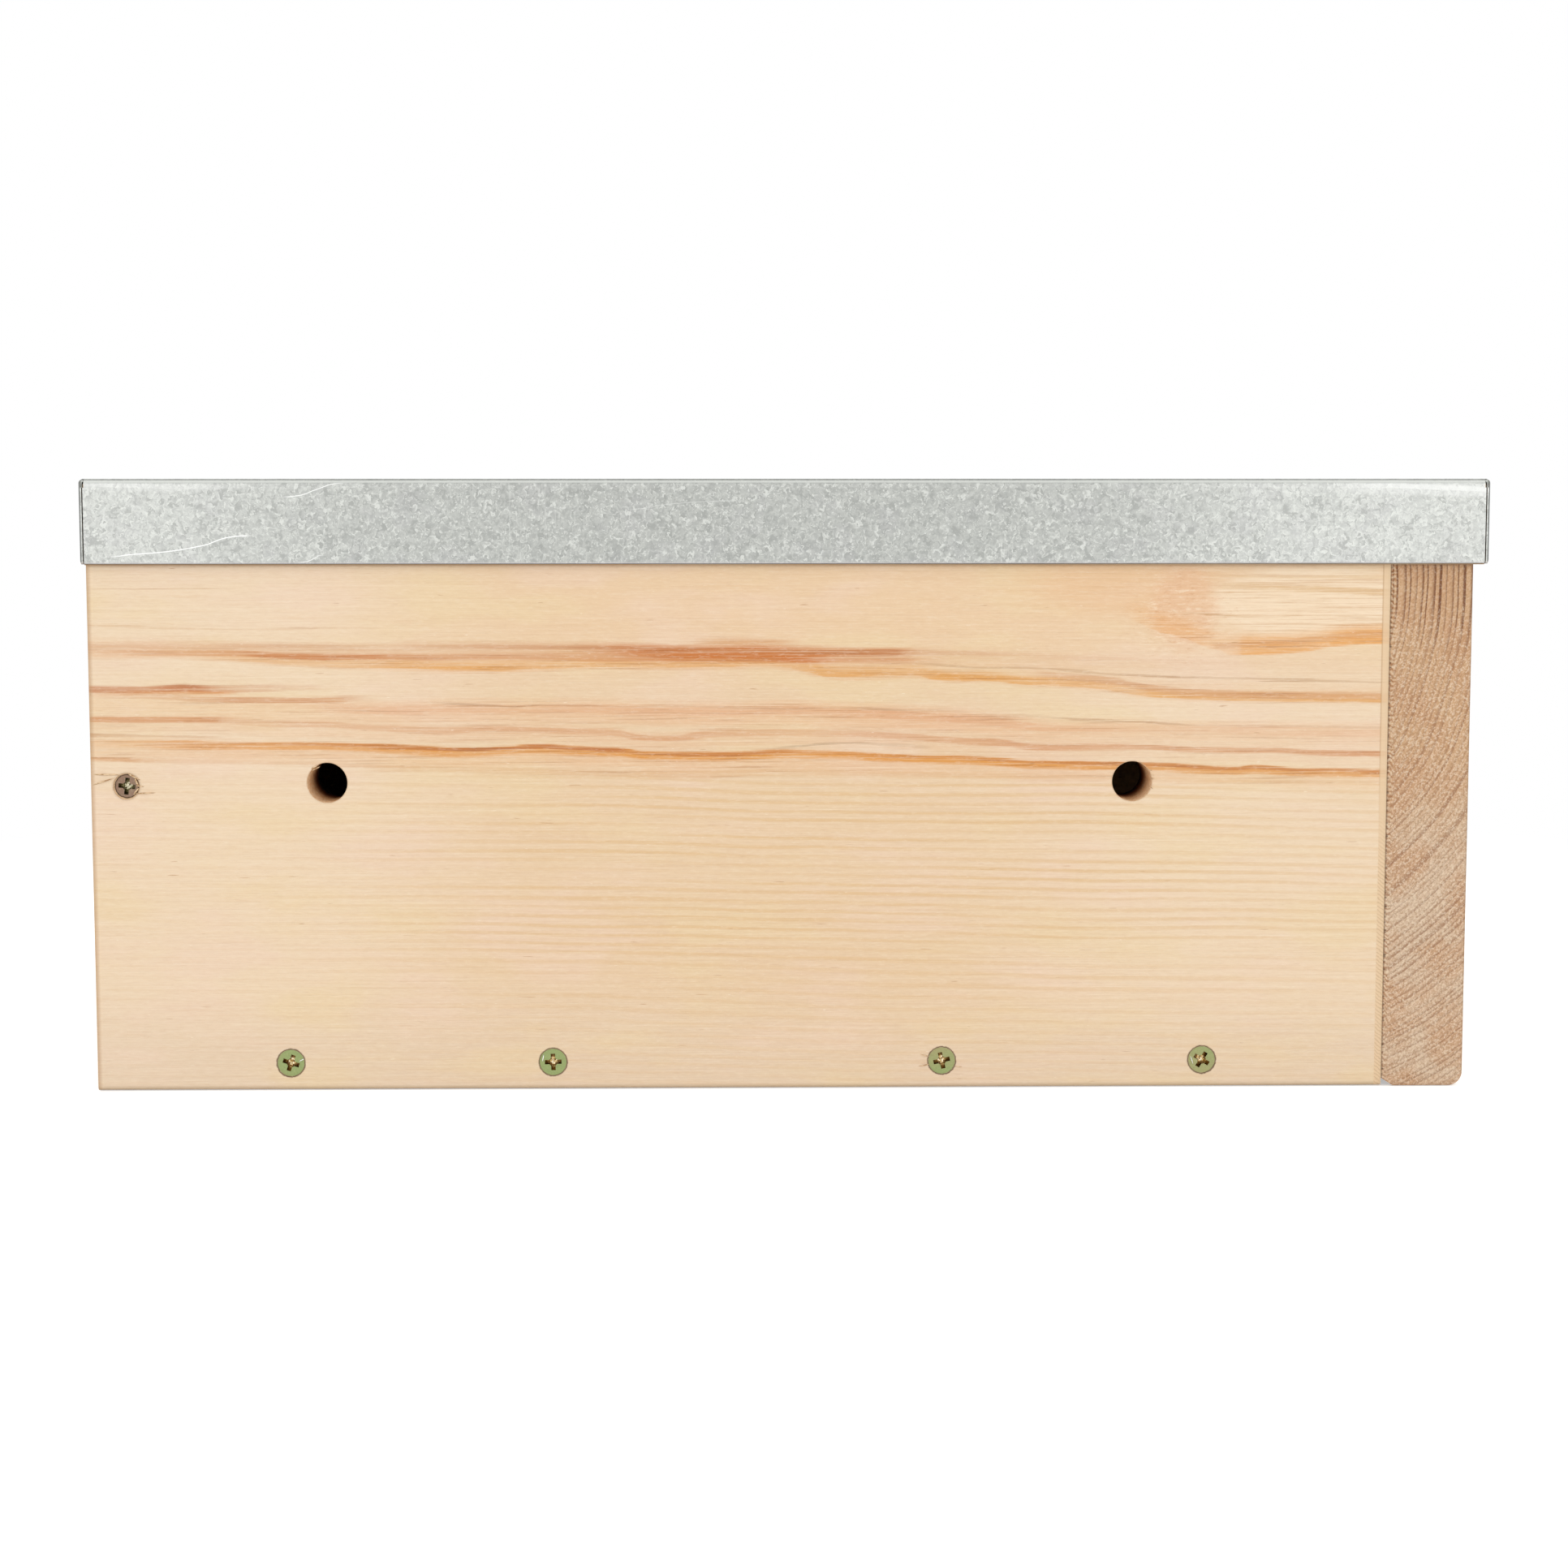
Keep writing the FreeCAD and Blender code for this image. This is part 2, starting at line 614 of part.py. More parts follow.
def screws():
    """Makes every group of fasteners."""
    wood, pan = wood_screw(), cap_screw()
    floor_places = [(x, FLOOR_SCREW_Z) for x in FLOOR_SCREW_XS]
    floor_twists = [f"floor_screw_twist_{number}" for number in range(1, 5)]
    rear_place = [(REAR_SCREW_X, REAR_SCREW_Z)]
    front, up = FreeCAD.Vector(1, 0, 0), FreeCAD.Vector(0, 0, 1)
    entrance_seats = [
        (f"{BOX_END} + board_thickness - screw_sink", f"({side}) * {WALL_MIDDLE_Y}", height, front, "0")
        for side in (-1, 1) for height in ("entrance_screw_inset", "wall_height - entrance_screw_inset")
    ]
    roof_seats = [
        (f"{BOX_START} + {inset}", f"({side}) * {WALL_MIDDLE_Y}", f"{ROOF_TOP} - screw_sink", up, "0")
        for inset in ("roof_screw_inset", "wall_length - roof_screw_inset") for side in (-1, 1)
    ]
    cap_seats = [
        (f"({end}) * {CAP_LENGTH} / 2", f"({side}) * cap_screw_spread / 2",
         "wall_height + board_thickness / 2", FreeCAD.Vector(end, 0, 0), "0")
        for end in (-1, 1) for side in (-1, 1)
    ]
    return [
        screw_group("floor_screws", wood, side_seats(floor_places, "screw_sink", floor_twists)),
        screw_group("rear_board_screws", wood,
                    side_seats(rear_place, "rear_screw_sink", ["rear_screw_twist"])),
        screw_group("entrance_board_screws", wood, entrance_seats),
        screw_group("roof_board_screws", wood, roof_seats),
        screw_group("cap_screws", pan, cap_seats),
    ]


def check_document(parts):
    """Stops if an object failed, a cut took nothing away or a sub-part has no sound shape."""
    for item in doc.Objects:
        if {"Invalid", "Error"} & set(item.State):
            raise RuntimeError(f"{item.Label} did not compute: {item.State}")
        if item.TypeId in CUTTING_FEATURES:
            if item.Shape.Volume > item.BaseFeature.Shape.Volume - TOLERANCE:
                raise RuntimeError(f"{item.Label} cuts nothing")
    for part in parts:
        if part.Shape.isNull() or not part.Shape.isValid():
            raise RuntimeError(f"{part.Label} has no valid shape")


def main():
    """Builds every sub-part and writes each to its own file."""
    fill_sheet()
    parts = [
        drilled_wall(),
        long_wall("plain_wall", 1),
        entrance_board(),
        rear_board(),
        floor_plank("floor_plank_rear", "0", FLOOR_SCREW_XS[:2]),
        floor_plank("floor_plank_front", f"({PLANK_LENGTH} + plank_joint_gap)", FLOOR_SCREW_XS[2:]),
        roof_board(),
        roof_cap(),
    ] + screws()
    doc.recompute()
    check_document(parts)
    os.makedirs("parts", exist_ok=True)
    for part in parts:
        part.Shape.exportStep(f"parts/{part.Label}.step")
        print(f"{part.Label}: {len(part.Shape.Solids)} solids, {part.Shape.Volume:.0f} mm3")


main()
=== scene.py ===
"""Swift nest box: finishes, torn fibres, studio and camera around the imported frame.

The box keeps its own frame: +Z is up, X runs from the rear board to the entrance board, and the
wall with the hanging holes faces -Y. Patterns inside the finishes are laid out in millimetres,
because that is how their places on the box are known.
"""

import logging
import math
from dataclasses import dataclass, field
from enum import Enum

import bpy
from mathutils import Matrix, Vector


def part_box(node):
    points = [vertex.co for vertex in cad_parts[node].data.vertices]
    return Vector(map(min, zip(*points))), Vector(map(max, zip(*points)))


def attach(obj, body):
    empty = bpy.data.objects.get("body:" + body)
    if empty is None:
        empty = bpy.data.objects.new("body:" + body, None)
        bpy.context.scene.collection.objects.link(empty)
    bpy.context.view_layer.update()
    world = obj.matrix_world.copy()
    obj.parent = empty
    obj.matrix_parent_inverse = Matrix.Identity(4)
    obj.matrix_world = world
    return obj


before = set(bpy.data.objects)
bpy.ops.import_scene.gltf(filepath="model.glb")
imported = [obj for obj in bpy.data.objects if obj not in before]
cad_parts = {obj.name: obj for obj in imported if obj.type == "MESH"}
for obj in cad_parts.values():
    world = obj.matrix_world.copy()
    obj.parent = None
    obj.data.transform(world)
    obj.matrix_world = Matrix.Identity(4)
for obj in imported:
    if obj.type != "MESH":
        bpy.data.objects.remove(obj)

log = logging.getLogger("nest_box")

Point = tuple[float, float]
Place = tuple[float, float, float]
Colour = tuple[float, float, float, float]
Socket = bpy.types.NodeSocket

MILLIMETRES = 1000.0
RING_TOLERANCE = 1e-5

# Places on the drilled wall, in millimetres: its face, its holes and the heads of its screws.
WALL_FACE = -95.5
HANGING_HOLES = ((-114.15, 0.0, 77.2), (85.85, 0.0, 77.2))
REAR_HEAD = (-163.75, 0.0, 76.4)
FLOOR_HEADS = tuple((x, 0.0, 6.8) for x in (-124.3, -58.8, 38.7, 104.2))


def tone(code: str) -> Colour:
    """Turns a written tone into the linear colour that a shader takes.

    Args:
        code: Red, green and blue as six hexadecimal digits.

    Returns:
        The linear colour with full alpha.
    """
    parts = [int(code[start:start + 2], 16) / 255 for start in (0, 2, 4)]
    red, green, blue = (
        part / 12.92 if part <= 0.04045 else ((part + 0.055) / 1.055) ** 2.4 for part in parts)
    return red, green, blue, 1.0


def corners_mm(node: str) -> tuple[Place, Place]:
    """Returns the lowest and highest corners of a CAD node in millimetres."""
    low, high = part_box(node)
    return tuple(low * MILLIMETRES), tuple(high * MILLIMETRES)


class NodeBench:
    """Adds nodes to one tree, each by a short call, and joins their sockets."""

    def __init__(self, tree: bpy.types.NodeTree) -> None:
        """Starts on a tree.

        Args:
            tree: The node tree that the nodes go into.
        """
        self.tree = tree

    def add(self, kind: str, inputs: dict | None = None, **settings: object) -> bpy.types.Node:
        """Adds one node.

        Args:
            kind: The node's type name.
            inputs: Input names or numbers with the socket or value that feeds each.
            settings: Properties of the node itself.

        Returns:
            The new node.
        """
        node = self.tree.nodes.new(kind)
        for name, setting in settings.items():
            setattr(node, name, setting)
        for name, source in (inputs or {}).items():
            self.feed(node.inputs[name], source)
        return node

    def feed(self, socket: Socket, source: object) -> None:
        """Links a socket to its source, or sets its value where the source is a plain value.

        Args:
            socket: The input that is fed.
            source: The socket or the plain value that feeds it.
        """
        if isinstance(source, Socket):
            self.tree.links.new(source, socket)
        else:
            socket.default_value = source

    def math(self, operation: str, *values: Socket | float) -> Socket:
        """Adds a Math node and returns its result."""
        return self.add("ShaderNodeMath", dict(enumerate(values)), operation=operation).outputs[0]

    def vector(self, operation: str, *values: Socket | Place) -> Socket:
        """Adds a Vector Math node and returns its vector."""
        node = self.add("ShaderNodeVectorMath", dict(enumerate(values)), operation=operation)
        return node.outputs["Vector"]

    def length(self, value: Socket) -> Socket:
        """Returns the length of a vector."""
        node = self.add("ShaderNodeVectorMath", {0: value}, operation="LENGTH")
        return node.outputs["Value"]

    def split(self, value: Socket) -> tuple[Socket, Socket, Socket]:
        """Returns the three parts of a vector."""
        outputs = self.add("ShaderNodeSeparateXYZ", {0: value}).outputs
        return outputs[0], outputs[1], outputs[2]

    def join(self, *parts: Socket | float) -> Socket:
        """Returns a vector made of three parts."""
        return self.add("ShaderNodeCombineXYZ", dict(enumerate(parts))).outputs[0]

    def ease(self, value: Socket, low: float | Socket, high: float | Socket) -> Socket:
        """Eases a value from 0 at low to 1 at high.

        Args:
            value: The value that is eased.
            low: Where the step starts.
            high: Where the step ends, above or below its start.

        Returns:
            The step, from 0 to 1.
        """
        node = self.add(
            "ShaderNodeMapRange", {"Value": value, "From Min": low, "From Max": high},
            interpolation_type="SMOOTHSTEP")
        return node.outputs["Result"]

    def mix(self, share: Socket | float, first: Socket | Colour, second: Socket | Colour) -> Socket:
        """Mixes two colours.

        Args:
            share: How much of the second colour shows, from 0 to 1.
            first: The colour underneath.
            second: The colour on top.

        Returns:
            The mixed colour.
        """
        node = self.add("ShaderNodeMix", {0: share, 6: first, 7: second}, data_type="RGBA")
        return node.outputs[2]

    def tint(self, colour: Socket | Colour, code: str, mask: Socket, share: float | Socket) -> Socket:
        """Lays a written tone over a colour.

        Args:
            colour: The colour underneath.
            code: The tone, as six hexadecimal digits.
            mask: Where the tone shows, from 0 to 1.
            share: How much of it shows there, from 0 to 1.

        Returns:
            The mixed colour.
        """
        return self.mix(self.math("MULTIPLY", mask, share), colour, tone(code))

    def stretch(self, value: Socket, x: float, y: float, z: float) -> Socket:
        """Returns a vector with its parts multiplied."""
        return self.vector("MULTIPLY", value, (x, y, z))

    def noise(self, value: Socket, scale: float, detail: float = 2.0, roughness: float = 0.5) -> Socket:
        """Returns a smooth noise from 0 to 1.

        Args:
            value: The place that is looked up.
            scale: How many bumps there are in a unit.
            detail: How many finer layers are added.
            roughness: How strong the finer layers are.

        Returns:
            The noise's value.
        """
        node = self.add("ShaderNodeTexNoise", {
            "Vector": value, "Scale": scale, "Detail": detail, "Roughness": roughness})
        return node.outputs["Fac"]

    def facets(self, value: Socket, scale: float | Socket) -> Socket:
        """Tones cells that each lean their own way, like small crystals; the slope across each cell is
        painted light and shade of a leaning crystal.

        Args:
            value: The place that is looked up.
            scale: How many cells there are in a unit.

        Returns:
            The tone of the cells.
        """
        cell = self.add("ShaderNodeTexVoronoi", {"Vector": value, "Scale": scale}).outputs
        offset = self.vector("SUBTRACT", value, cell["Position"])
        lean = self.vector("SUBTRACT", cell["Color"], (0.5, 0.5, 0.5))
        slope = self.add("ShaderNodeVectorMath", {0: offset, 1: lean}, operation="DOT_PRODUCT")
        height = self.math("MULTIPLY", slope.outputs["Value"], scale)
        return self.math("MULTIPLY_ADD", height, 1.7, 0.5)

    def curve(self, value: Socket, points: list[Point]) -> Socket:
        """Looks a value up on a smooth curve.

        Args:
            value: Where to look, from 0 to 1.
            points: The curve's points in order, each from 0 to 1 both ways.

        Returns:
            The height of the curve.
        """
        node = self.add("ShaderNodeFloatCurve", {"Value": value})
        line = node.mapping.curves[0]
        line.points[0].location, line.points[1].location = points[0], points[-1]
        for point in points[1:-1]:
            line.points.new(*point)
        for point in line.points:
            point.handle_type = "AUTO_CLAMPED"
        node.mapping.update()
        return node.outputs["Value"]

    def group(self, tree: bpy.types.NodeTree, **inputs: object) -> bpy.types.bpy_prop_collection:
        """Places a shared group and returns its outputs."""
        return self.add("ShaderNodeGroup", inputs, node_tree=tree).outputs


class GroupBench(NodeBench):
    """A shared node group under construction, with its named inputs and outputs."""

    def __init__(self, name: str, inputs: dict[str, float | Place], outputs: tuple[str, ...]) -> None:
        """Starts a group.

        Args:
            name: The group's name.
            inputs: Each input's name and default, a number or a vector.
            outputs: The names of the numbers that the group puts out.
        """
        super().__init__(bpy.data.node_groups.new(name, "ShaderNodeTree"))
        for label, default in inputs.items():
            kind = "NodeSocketFloat" if isinstance(default, float) else "NodeSocketVector"
            socket = self.tree.interface.new_socket(label, in_out="INPUT", socket_type=kind)
            socket.default_value = default
        for label in outputs:
            self.tree.interface.new_socket(label, in_out="OUTPUT", socket_type="NodeSocketFloat")
        self.given = self.add("NodeGroupInput").outputs
        self.results = self.add("NodeGroupOutput").inputs

    def put(self, label: str, source: Socket) -> None:
        """Sends a value out of the group."""
        self.feed(self.results[label], source)


class SharedEffects:
    """The effects that more than one finish uses, each built once as a node group."""

    def __init__(self) -> None:
        """Builds every group."""
        self.edge_wear = self._edge_wear()
        self.growth_rings = self._growth_rings()
        self.stroke = self._stroke()
        self.patch = self._patch()
        self.rim = self._rim()
        self.spangle = self._spangle()

    @staticmethod
    def _edge_wear() -> bpy.types.NodeTree:
        """Marks the ragged margin along every edge of a squared piece.

        Returns:
            The group's node tree.
        """
        bench = GroupBench(
            "edge wear",
            {"Position": (0.0, 0.0, 0.0), "Low": (0.0, 0.0, 0.0), "High": (1.0, 1.0, 1.0),
             "Width": 1.0, "Raggedness": 0.5},
            ("Distance", "Mask"))
        given = bench.given
        inside = bench.vector("SUBTRACT", given["Position"], given["Low"])
        outside = bench.vector("SUBTRACT", given["High"], given["Position"])
        x, y, z = bench.split(bench.vector("MINIMUM", inside, outside))
        nearest, next_one = bench.math("MINIMUM", x, y), bench.math("MAXIMUM", x, y)
        distance = bench.math("MAXIMUM", nearest, bench.math("MINIMUM", next_one, z))
        ragged = bench.math("SUBTRACT", bench.noise(given["Position"], 0.7, 4.0, 0.6), 0.5)
        moved = bench.math("MULTIPLY_ADD", ragged, given["Raggedness"], distance)
        bench.put("Distance", distance)
        bench.put("Mask", bench.ease(moved, given["Width"], 0.0))
        return bench.tree

    @staticmethod
    def _growth_rings() -> bpy.types.NodeTree:
        """Lays growth rings round a pith that runs along X, with the fibres between them.

        Returns:
            The group's node tree.
        """
        bench = GroupBench(
            "growth rings",
            {"Position": (0.0, 0.0, 0.0), "Pith": (0.0, 0.0, 0.0), "Pitch": 2.0, "Wander": 6.0,
             "Seed": 0.0},
            ("Latewood", "Fibre", "Speck"))
        given = bench.given
        shift = bench.math("MULTIPLY", given["Seed"], 53.0)
        shifted = bench.vector("ADD", given["Position"], bench.join(shift, shift, shift))
        wander = bench.noise(bench.stretch(shifted, 0.006, 0.03, 0.03), 1.0, 2.0)
        radial = bench.stretch(bench.vector("SUBTRACT", given["Position"], given["Pith"]), 0, 1, 1)
        radius = bench.math("MULTIPLY_ADD", wander, given["Wander"], bench.length(radial))
        phase = bench.math("DIVIDE", radius, given["Pitch"])
        uneven = bench.add("ShaderNodeTexNoise", {"W": phase, "Scale": 0.4, "Detail": 1.0},
                           noise_dimensions="1D").outputs["Fac"]
        phase = bench.math("MULTIPLY_ADD", uneven, 1.6, phase)
        tooth = bench.math("FRACT", phase)
        rise, drop = bench.ease(tooth, 0.3, 0.88), bench.ease(tooth, 1.0, 0.9)
        own = bench.add("ShaderNodeTexWhiteNoise", {"W": bench.math("FLOOR", phase)},
                        noise_dimensions="1D").outputs["Value"]
        strength = bench.math("MULTIPLY_ADD", own, 0.6, 0.4)
        latewood = bench.math("MULTIPLY", bench.math("MULTIPLY", rise, drop), strength)
        bench.put("Latewood", latewood)
        bench.put("Fibre", bench.noise(bench.stretch(shifted, 0.03, 2.4, 2.4), 1.0, 4.0, 0.65))
        specks = bench.noise(bench.stretch(shifted, 0.9, 3.0, 3.0), 1.0, 2.0)
        bench.put("Speck", bench.ease(specks, 0.62, 0.78))
        return bench.tree

    @staticmethod
    def _stroke() -> bpy.types.NodeTree:
        """Shades a line by the height above it, with its own fade to each side.

        Returns:
            The group's node tree.
        """
        bench = GroupBench(
            "stroke",
            {"Height": 0.0, "Rise": 0.5, "Fall": 0.5, "Strength": 1.0, "Breakup": 0.0},
            ("Mask",))
        given = bench.given
        above = bench.ease(given["Height"], given["Rise"],
                           bench.math("MULTIPLY", given["Rise"], 0.25))
        below = bench.ease(bench.math("MULTIPLY", given["Height"], -1.0), given["Fall"],
                           bench.math("MULTIPLY", given["Fall"], 0.55))
        whole = bench.math("SUBTRACT", 1.0, given["Breakup"])
        line = bench.math("MULTIPLY", bench.math("MULTIPLY", above, below), given["Strength"])
        bench.put("Mask", bench.math("MULTIPLY", line, whole))
        return bench.tree

    @staticmethod
    def _patch() -> bpy.types.NodeTree:
        """Marks a soft patch with a ragged outline around a place, seen along Y.

        Returns:
            The group's node tree.
        """
        bench = GroupBench(
            "patch",
            {"Position": (0.0, 0.0, 0.0), "Centre": (0.0, 0.0, 0.0), "Reach": (10.0, 1.0, 10.0),
             "Softness": 0.4, "Raggedness": 0.5},
            ("Mask",))
        given = bench.given
        offset = bench.vector("DIVIDE", bench.vector("SUBTRACT", given["Position"], given["Centre"]),
                              given["Reach"])
        radius = bench.length(bench.stretch(offset, 1, 0, 1))
        ragged = bench.math("SUBTRACT", bench.noise(bench.stretch(given["Position"], 0.12, 0.1, 0.5),
                                                    1.0, 4.0, 0.6), 0.5)
        moved = bench.math("MULTIPLY_ADD", ragged, given["Raggedness"], radius)
        inner = bench.math("SUBTRACT", 1.0, given["Softness"])
        outer = bench.math("ADD", 1.0, given["Softness"])
        bench.put("Mask", bench.ease(moved, outer, inner))
        return bench.tree

    @staticmethod
    def _rim() -> bpy.types.NodeTree:
        """Marks the bruised ring around a round hole or head whose axis runs along Y.

        Returns:
            The group's node tree.
        """
        bench = GroupBench(
            "rim",
            {"Position": (0.0, 0.0, 0.0), "Centre": (0.0, 0.0, 0.0), "Radius": 3.0, "Width": 0.3},
            ("Ring", "Inside"))
        given = bench.given
        offset = bench.stretch(bench.vector("SUBTRACT", given["Position"], given["Centre"]), 1, 0, 1)
        ragged = bench.math("SUBTRACT", bench.noise(given["Position"], 1.4, 3.0, 0.6), 0.5)
        past = bench.math("SUBTRACT", bench.length(offset), given["Radius"])
        moved = bench.math("MULTIPLY_ADD", ragged, 0.5, past)
        bench.put("Ring", bench.ease(bench.math("ABSOLUTE", moved), given["Width"], 0.0))
        bench.put("Inside", bench.ease(past, 0.06, 0.03))
        return bench.tree

    @staticmethod
    def _spangle() -> bpy.types.NodeTree:
        """Covers a surface with the feathery crystals of a zinc coating, with painted highlights and
        painted shade on their sides.

        Returns:
            The group's node tree.
        """
        bench = GroupBench(
            "spangle", {"Position": (0.0, 0.0, 0.0), "Flake": 3.0},
            ("Tone", "PaintedHighlight", "Shade", "Relief"))
        given = bench.given
        warp = bench.add("ShaderNodeTexNoise", {
            "Vector": given["Position"], "Scale": 0.6, "Detail": 3.0}).outputs["Color"]
        warped = bench.vector("MULTIPLY_ADD", warp, (4.2, 4.2, 4.2), given["Position"])
        size = bench.math("DIVIDE", 1.0, given["Flake"])
        large = bench.facets(warped, size)
        small = bench.facets(warped, bench.math("MULTIPLY", size, 1.9))
        feather = bench.noise(warped, 0.7, 3.0, 0.55)
        both = bench.math("MULTIPLY_ADD", large, 0.38, bench.math("MULTIPLY", small, 0.3))
        bench.put("Tone", bench.math("MULTIPLY_ADD", feather, 0.42, bench.math(
            "MULTIPLY", both, 0.85)))
        # Painted highlight on the high side of each crystal, and painted shade on its low side.
        bench.put("PaintedHighlight", bench.math("MAXIMUM", bench.ease(large, 0.74, 0.98),
                                      bench.ease(small, 0.74, 0.98)))
        bench.put("Shade", bench.ease(large, 0.26, 0.02))
        bench.put("Relief", both)
        return bench.tree


class Grain(Enum):
    """Which way the fibres of a board run."""

    ALONG = "along the box"
    ACROSS = "across the box"


@dataclass(frozen=True)
class Stroke:
    """A line drawn on an upright face, such as a growth line, a scratch or a painted highlight.

    path holds places along the face and their heights, and strength holds places along the face
    and how strong the line is there. rise and fall are its fades above and below.
    """

    path: tuple[Point, ...]
    strength: tuple[Point, ...]
    rise: float
    fall: float
    tone: str


@dataclass(frozen=True)
class FaceMap:
    """Turns places on an upright face into the unit square that a curve covers."""

    left: float
    bottom: float
    width: float
    height: float

    def unit(self, points: tuple[Point, ...]) -> list[Point]:
        """Returns points with both parts brought to the unit square."""
        return [((x - self.left) / self.width, (z - self.bottom) / self.height) for x, z in points]

    def along(self, points: tuple[Point, ...]) -> list[Point]:
        """Returns points with only the place along the face brought to the unit square."""
        return [((x - self.left) / self.width, share) for x, share in points]


class Surface:
    """A material under construction: a Principled shader and the place it shades."""

    def __init__(self, name: str, metallic: float = 0.0, specular: float = 0.35) -> None:
        """Starts a material.

        Args:
            name: The material's name.
            metallic: 1 for bare or plated metal.
            specular: How strongly a surface that isn't metal reflects.
        """
        self.material = bpy.data.materials.new(name)
        self.material.use_nodes = True
        self.material.node_tree.nodes.clear()
        self.bench = NodeBench(self.material.node_tree)
        self.shader = self.bench.add("ShaderNodeBsdfPrincipled", {
            "Metallic": metallic, "Specular IOR Level": specular})
        self.bench.add("ShaderNodeOutputMaterial", {"Surface": self.shader.outputs[0]})
        coordinates = self.bench.add("ShaderNodeTexCoord").outputs
        self.place = self.bench.stretch(coordinates["Object"], *(MILLIMETRES,) * 3)
        self.normal = coordinates["Normal"]

    def finish(self, colour: Socket, roughness: Socket, height: Socket, depth: float) -> bpy.types.Material:
        """Feeds the shader.

        Args:
            colour: The base colour.
            roughness: The roughness.
            height: The relief, from 0 to 1.
            depth: How high the relief stands, in metres.

        Returns:
            The finished material.
        """
        bench = self.bench
        bump = bench.add("ShaderNodeBump", {"Height": height, "Distance": depth, "Strength": 1.0})
        for name, source in (("Base Color", colour), ("Roughness", roughness),
                             ("Normal", bump.outputs[0])):
            bench.feed(self.shader.inputs[name], source)
        return self.material

    def strokes(self, effects: SharedEffects, face: FaceMap, lines: tuple[Stroke, ...],
                colour: Socket, breakup: Socket | float, looseness: float) -> tuple[Socket, Socket]:
        """Draws lines over a colour.

        Args:
            effects: The shared effects.
            face: The face that the lines are measured on.
            lines: The lines, the lowest layer first.
            colour: The colour underneath.
            breakup: How much the fibres break the lines up.
            looseness: How far the edges of the lines feather, in millimetres.

        Returns:
            The colour with the lines on it, and how strongly a line shows at each place.
        """
        bench = self.bench
        x, _, z = bench.split(self.place)
        share = bench.math("DIVIDE", bench.math("SUBTRACT", x, face.left), face.width)
        tremble = bench.math("SUBTRACT", bench.noise(
            bench.stretch(self.place, 0.09, 0.05, 0.25), 1.0, 3.0), 0.5)
        feather = bench.math("SUBTRACT", bench.noise(
            bench.stretch(self.place, 0.03, 0.4, 1.3), 1.0, 4.0, 0.65), 0.5)
        height = bench.math("MULTIPLY_ADD", tremble, looseness * 0.25, z)
        height = bench.math("MULTIPLY_ADD", feather, looseness, height)
        presence = 0.0
        for line in lines:
            level = bench.math("MULTIPLY_ADD", bench.curve(share, face.unit(line.path)),
                               face.height, face.bottom)
            mask = bench.group(
                effects.stroke, Height=bench.math("SUBTRACT", height, level), Rise=line.rise,
                Fall=line.fall, Strength=bench.curve(share, face.along(line.strength)),
                Breakup=breakup)["Mask"]
            colour = bench.mix(mask, colour, tone(line.tone))
            presence = bench.math("MAXIMUM", mask, presence)
        return colour, presence


# Growth lines of the drilled wall: places along the box and heights, in millimetres.
UPPER_LINE = (
    (-172.4, 111.4), (-150, 111.1), (-125, 111.0), (-112, 110.8), (-101, 110.6), (-90, 111.2),
    (-70, 111.0), (-58, 110.8), (-42, 110.6), (-25, 110.1), (-10, 110.0), (5, 109.6), (28, 109.4),
    (50, 108.8), (80, 107.6), (149, 105.5))
MIDDLE_LINE = (
    (-172.4, 110.2), (-160, 109.7), (-135, 109.3), (-122, 108.6), (-112, 108.4), (-100, 108.5),
    (-85, 108.3), (-60, 108.4), (-40, 108.0), (-15, 108.0), (5, 107.8), (149, 105.0))
AMBER_LINE = (
    (-172.4, 109.2), (-150, 108.9), (-135, 108.2), (-125, 107.2), (-112, 106.5), (-95, 106.1),
    (-85, 105.7), (-75, 105.6), (-60, 105.9), (-50, 106.4), (-35, 106.3), (-20, 106.6), (-8, 106.8),
    (0, 106.3), (5, 105.3), (10, 104.2), (15, 103.9), (25, 104.1), (32, 104.2), (36, 103.4),
    (42, 102.8), (50, 102.7), (60, 101.9), (70, 101.5), (78, 100.8), (85, 99.6), (92, 98.8),
    (100, 98.2), (120, 97.8), (135, 97.6), (149.6, 97.4))
ROSE_LINE = (
    (-172.4, 98.4), (-125, 96.6), (-108, 96.0), (-95, 95.6), (-85, 95.9), (-70, 95.8), (-50, 95.8),
    (-40, 95.5), (-30, 95.2), (-15, 95.2), (0, 95.5), (10, 95.0), (20, 94.6), (30, 94.0), (40, 93.3),
    (50, 92.6), (60, 91.3), (66, 90.6), (80, 90.8), (100, 90.4), (149, 89.6))
LOWER_LINE = (
    (-172.4, 93.3), (-160, 93.1), (-150, 93.2), (-140, 93.1), (-130, 92.3), (-115, 91.9),
    (-105, 91.3), (-95, 90.8), (-85, 90.4), (-75, 90.8), (-65, 90.8), (-55, 90.3), (-42, 89.9),
    (-38, 88.9), (-30, 88.4), (-20, 89.4), (-10, 89.7), (0, 89.9), (12, 89.8), (22, 89.4),
    (32, 88.5), (42, 87.7), (52, 87.2), (60, 86.3), (66, 86.1), (90, 86.0), (100, 85.4),
    (112, 85.2), (120, 85.3), (132, 84.7), (149.6, 84.1))
MAIN_LINE = (
    (-172.4, 88.0), (-160, 87.6), (-150, 87.3), (-135, 87.1), (-120, 87.1), (-110, 86.8),
    (-100, 86.3), (-90, 85.8), (-80, 85.5), (-70, 85.8), (-62, 86.1), (-55, 85.8), (-45, 85.4),
    (-40, 85.1), (-37, 84.6), (-30, 84.3), (-20, 84.3), (-10, 84.5), (0, 84.9), (6, 84.7),
    (15, 84.5), (22, 84.0), (30, 83.6), (40, 83.4), (50, 82.9), (60, 82.2), (70, 82.0), (80, 81.7),
    (92, 81.4), (102, 80.8), (112, 80.5), (116, 80.9), (125, 80.2), (138, 79.9), (149.6, 79.6))
